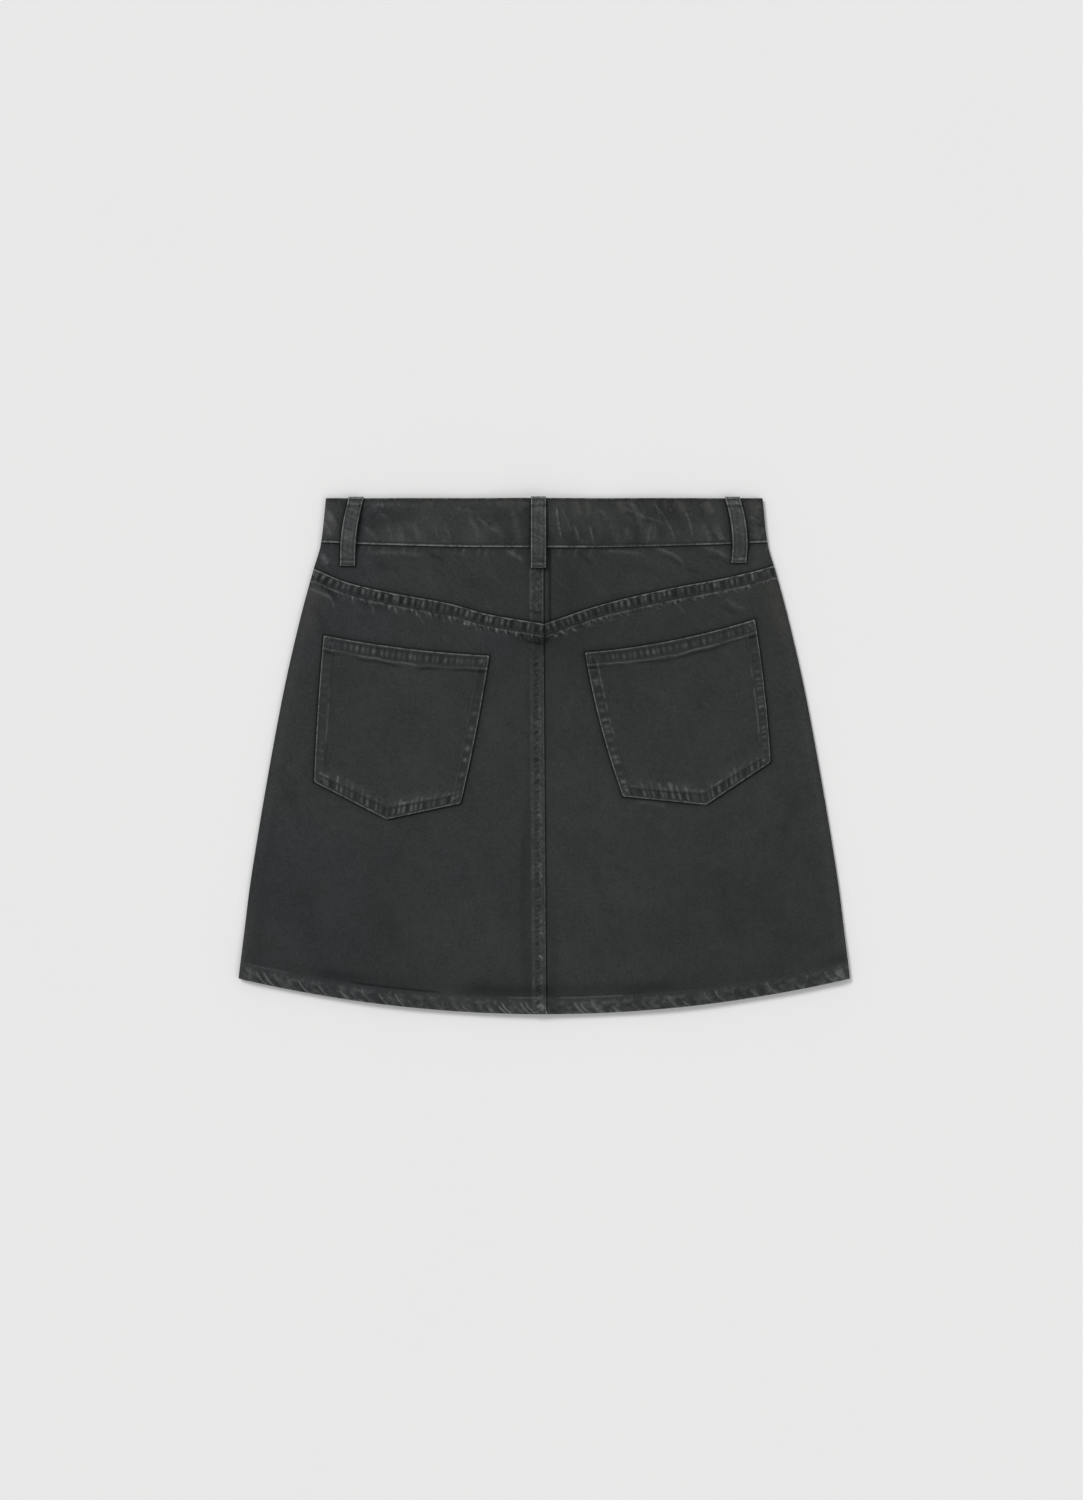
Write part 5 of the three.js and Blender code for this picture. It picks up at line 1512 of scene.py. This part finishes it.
steel = metal("worn_steel", STEEL)
for name in ("button", "zip_slider", "zip_pull_tab"):
    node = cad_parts[name]
    for slot in node.material_slots:
        slot.material = steel

TAPE_TOP = 159.7
TAPE_CLOTH = 0.7
TAPE_INSIDE = 2.7
# Between these Y values the tape parts a little more and has no teeth, for the slider.
SLIDER_LOW = 138
SLIDER_HIGH = 154
SLIDER_ROOM = 1.9


def zip_lift(aside, y):
    """The tape rises over the pull tab that lies folded down under it."""
    return 1.8 * smooth((10 - np.abs(aside)) / 4) * smooth((y - PULL_LOW + PULL_SLOPE) / 10)


woven = tape("zip_tape_cloth")
share, y = np.meshgrid(np.linspace(0, 1, 14), spaced(ZIP_LOW, (TAPE_TOP, 1.6)), indexing="ij")
for side, name in ((-1, "zip_tape_left"), (1, "zip_tape_right")):
    inside = TAPE_INSIDE + SLIDER_ROOM * window(y, SLIDER_LOW + 0.5, 1.2, SLIDER_HIGH - 0.5, 1.2)
    aside = side * lerp(inside, TAPE_HALF, share)
    under = CLOTH + GAP + zip_lift(aside, y)
    outer = np.stack([ZIP_X + aside, y, under], 2)
    inner = np.stack([ZIP_X + aside, y, under + TAPE_CLOTH], 2)
    points, faces = shut(outer, inner)
    half = make_piece(name, points, faces, woven)
    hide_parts("zip_tape")

TOOTH_PITCH = 1.3
TOOTH_DEPTH = 1.3
TOOTH = np.array(
    [(-2.5, -0.5), (-0.6, -0.5), (0.5, -0.4), (0.75, 0), (0.5, 0.4), (-0.6, 0.5), (-2.5, 0.5), (-2.6, 0)]
)
teeth_below = np.arange(ZIP_LOW + 1.5, SLIDER_LOW, TOOTH_PITCH)
teeth_y = np.r_[teeth_below, np.arange(SLIDER_HIGH, 159, TOOTH_PITCH)]
hands = np.where(np.arange(len(teeth_y)) % 2 == 0, 1, -1)
tooth_x = ZIP_X + hands[:, None] * TOOTH[:, 0]
tooth_y = teeth_y[:, None] + TOOTH[:, 1]
tooth_z = CLOTH + GAP + zip_lift(0 * tooth_y, tooth_y) + 0.1
points = np.stack([np.stack([tooth_x, tooth_y, tooth_z + z], 2) for z in (0, TOOTH_DEPTH)], 1)
caps = np.array([[0, 7, 6, 1], [1, 6, 5, 2], [2, 5, 4, 3]])
tooth = np.concatenate([ring_walls(8), caps, caps[:, ::-1] + 8])
faces = np.where(hands[:, None, None] > 0, tooth, tooth[:, ::-1])
faces = faces + 16 * np.arange(len(teeth_y))[:, None, None]
make_piece("zip_teeth", points.reshape(-1, 3), faces.reshape(-1, 4), steel)


# Topstitching in dark polyester thread, tone on tone: two rows along each felled seam and round
# each pocket, one at the hem and along each edge of the waistband, and tacks where it is strained.
FELL_ROWS = (-1.9, -8.0)
CENTRE_ROWS = (1.9, 9.3)
HEM_ROW = 12.7
BAND_ROWS = ((0, 1.9), (1, -2.2))
POCKET_ROWS = (1.7, 7.7)
OPENING_ROWS = (1.8, 9.2)
LOOP_ROW = 1.7
SHORT_STITCH = {"pitch": 2.4, "length": 1.8}
BARTACK = {"pitch": 0.42, "width": 0.4, "crosswise": True}
THREAD_BLACK = (0.016, 0.017, 0.017, 1)
THREAD_PALE = (0.05, 0.052, 0.05, 1)


def thread(name):
    """Black thread, a little glossier than the cloth, with a fine twist as relief."""
    surface = {"Roughness": 0.6, "Specular IOR Level": 0.3, "Sheen Weight": 0.1}
    finish = Finish(name, surface)
    place = finish.place(30)
    split = finish.node("ShaderNodeSeparateXYZ", sockets={0: place})
    slanted = Tone(finish, split.outputs[0]) + Tone(finish, split.outputs[1])
    twist = finish.maths("SINE", slanted * 9) * 0.5 + 0.5
    tone = finish.noise(place, 5) * 0.7 + twist * 0.3
    finish.feed(
        finish.surface.inputs["Base Color"],
        finish.blend(tone, THREAD_BLACK, THREAD_PALE),
    )
    finish.bump(twist * 0.05, 0.5)
    return finish.material


def at_numbers(grid, u, v):
    """Values of a grid at fractional column and row numbers, in straight lines between points."""
    i = np.clip(np.floor(u).astype(int), 0, grid.shape[0] - 2)
    j = np.clip(np.floor(v).astype(int), 0, grid.shape[1] - 2)
    s, t = (u - i)[:, None], (v - j)[:, None]
    low = lerp(grid[i, j], grid[i + 1, j], s)
    return lerp(low, lerp(grid[i, j + 1], grid[i + 1, j + 1], s), t)


def normals_of(grid):
    """Unit normals that point up, from the cross product of a grid's two directions."""
    normal = np.cross(np.gradient(grid, axis=0), np.gradient(grid, axis=1))
    normal = normal / np.maximum(np.linalg.norm(normal, axis=2, keepdims=True), 1e-9)
    return normal * np.where(normal[..., 2:] < 0, -1, 1)


def sewn(grid, u, v, pitch=2.6, length=2.0, width=0.5, height=0.36, crosswise=False):
    """Stitches along a path of column and row numbers on a surface: at even steps, each a
    flattened spindle whose ends sink into the cloth."""
    points = at_numbers(grid, u, v)
    normal = at_numbers(normals_of(grid), u, v)
    run = np.r_[0, np.cumsum(np.linalg.norm(np.diff(points, axis=0), axis=1))]
    count = max(int(run[-1] / pitch), 1)
    at = (np.arange(count) + 0.5) * run[-1] / count

    def along(values, where):
        """Values at given distances along the path."""
        return np.stack([np.interp(where, run, values[:, k]) for k in range(3)], 1)

    centre, up = along(points, at), along(normal, at)
    ahead = along(points, at + 0.4) - along(points, at - 0.4)
    ahead = ahead / np.maximum(np.linalg.norm(ahead, axis=1, keepdims=True), 1e-9)
    beside = np.cross(up, ahead)
    if crosswise:
        ahead, beside = beside, -ahead
    ring = np.arange(4) * np.pi / 2
    size = np.array([0.45, 1, 1, 0.45])[:, None]
    place = np.array([-0.5, -0.28, 0.28, 0.5])[:, None] * length + 0 * ring
    sink = np.array([-0.16, 0.04, 0.04, -0.16])[:, None] + height / 2 * size * np.sin(ring)
    parts = [(place, ahead), (width / 2 * size * np.cos(ring), beside), (sink, up)]
    return centre[:, None, None] + sum(a[None, ..., None] * b[:, None, None] for a, b in parts)


def stitch_piece(name, rows):
    """All stitches of a seam as one mesh, each with fourteen faces."""
    points = np.concatenate([row.reshape(-1, 16, 3) for row in rows])
    walls = [ring_walls(4) + 4 * ring for ring in range(3)]
    one = np.concatenate(walls + [np.array([[3, 2, 1, 0], [12, 13, 14, 15]])])[:, ::-1]
    faces = one + 16 * np.arange(len(points))[:, None, None]
    return make_piece(name, points.reshape(-1, 3), faces.reshape(-1, 4), black_thread)


def row_number(rows, share, offset):
    """The number of the row at an offset from the lower edge, share 0, or the upper one."""
    near = rows[0] == share
    return np.interp(offset, rows[1][near], np.nonzero(near)[0])


def number_at(distance, places):
    """The number of the column or row at a distance, in a list of their places."""
    return np.interp(distance, places, np.arange(len(places)))


black_thread = thread("black_thread")
stitch_rows = []
for name, side in (("back_left", -1), ("back_right", 1)):
    surface = backs[name][1]
    every = np.arange(surface.shape[0] - 4.0)
    for offset in FELL_ROWS:
        number = row_number(back_rows, 1, offset)
        stitch_rows.append(sewn(surface, every, every * 0 + number, length=1.9))
    stitch_rows.append(sewn(surface, every, every * 0 + row_number(back_rows, 0, HEM_ROW)))
for piece, rows in ((backs["back_left"], back_rows), (yokes["yoke_left"], yoke_rows)):
    every = np.arange(2.0, piece[1].shape[1] - 2)
    for distance in CENTRE_ROWS:
        number = number_at(distance, left_near)
        stitch_rows.append(sewn(piece[1], every * 0 + number, every))
stitch_piece("stitches_seams", stitch_rows)

surface = band[1]
every = np.arange(3.0, surface.shape[0] - 3)
band_stitches = []
for share, offset in BAND_ROWS:
    number = row_number(band_rows, share, offset)
    band_stitches.append(sewn(surface, every, every * 0 + number, **SHORT_STITCH))
stitch_piece("stitches_waistband", band_stitches)

pocket_stitches = []
for name, (piece, surface, across, down) in pockets.items():
    width, height = across[-1], down[-1]
    for inset in POCKET_ROWS:
        inward = np.r_[0 * down + inset, np.clip(across, inset, width - inset), 0 * down + width - inset]
        downward = np.clip(np.r_[down, 0 * across + height, down[::-1]], 0.6, height - inset)
        pocket_stitches.append(sewn(surface, number_at(inward, across), number_at(downward, down)))
    every = np.arange(2.0, len(across) - 2)
    for depth in OPENING_ROWS:
        pocket_stitches.append(sewn(surface, every, every * 0 + number_at(depth, down)))
    for inset in (2.6, width - 2.6):
        v = np.linspace(1.5, number_at(9, down), 9)
        pocket_stitches.append(sewn(surface, v * 0 + number_at(inset, across), v, length=1.9, **BARTACK))
stitch_piece("stitches_pockets", pocket_stitches)

loop_stitches = []
for name in LOOP_LINES:
    surface = loops[name][1]
    columns, rows = surface.shape[:2]
    every = np.arange(2.0, rows - 2)
    for edge in (LOOP_ROW, LOOP_WIDTH - LOOP_ROW):
        number = number_at(edge - LOOP_WIDTH / 2, loop_aside)
        loop_stitches.append(sewn(surface, every * 0 + number, every, **SHORT_STITCH))
    across_loop = np.linspace(2.5, columns - 3.5, 12)
    for tack in (4.0, rows - 7.0):
        loop_stitches.append(sewn(surface, across_loop, across_loop * 0 + tack, length=1.7, **BARTACK))
stitch_piece("stitches_loops", loop_stitches)


# The skirt lies just above a plain pale floor. Soft light falls on it, most of it from the upper
# left, and the camera looks straight down.
FLOOR_LEVEL = -0.0003
FLOOR_GREY = (0.786, 0.778, 0.770, 1)
FLOOR_PALE = (0.798, 0.790, 0.782, 1)
ROOM_LIGHT = (0.965, 0.98, 0.995, 1)
floor_finish = Finish("pale_floor", {"Roughness": 0.9, "Specular IOR Level": 0.1})
speck = floor_finish.noise(floor_finish.place(), 300, 2)
floor_finish.feed(
    floor_finish.surface.inputs["Base Color"],
    floor_finish.blend(speck, FLOOR_GREY, FLOOR_PALE),
)
floor_mesh = bpy.data.meshes.new("floor")
floor_corners = [(x, y, FLOOR_LEVEL) for x, y in ((-4, -4), (4, -4), (4, 4), (-4, 4))]
floor_mesh.from_pydata(floor_corners, [], [(0, 1, 2, 3)])
floor_mesh.materials.append(floor_finish.material)
add_object("floor", floor_mesh)


def soft_light(name, place, spread, strength):
    """A distant lamp that shines from a place towards the middle of the skirt. Its spread in
    degrees is how wide it looks from there."""
    lamp = bpy.data.lights.new(name, "SUN")
    lamp.angle = np.radians(spread)
    lamp.energy = strength
    light = add_object(name, lamp)
    light.location = place
    light.rotation_mode = "QUATERNION"
    light.rotation_quaternion = light.location.to_track_quat("Z", "Y")


soft_light("key_light", (-2.2, 2.4, 3.6), 19, 1.69)
soft_light("fill_light", (2.8, -1.9, 4.0), 32, 0.467)
world = bpy.data.worlds.new("studio")
world.use_nodes = True
room = world.node_tree.nodes["Background"]
room.inputs["Color"].default_value = ROOM_LIGHT
room.inputs["Strength"].default_value = 0.53
bpy.context.scene.world = world
bpy.context.scene.view_settings.view_transform = "Standard"

camera_lens = bpy.data.cameras.new("camera")
camera_lens.lens = 85
camera_lens.sensor_width = 36
camera = add_object("camera", camera_lens)
camera.location = (-0.0022, 0.0044, 2.8363)
bpy.context.scene.camera = camera
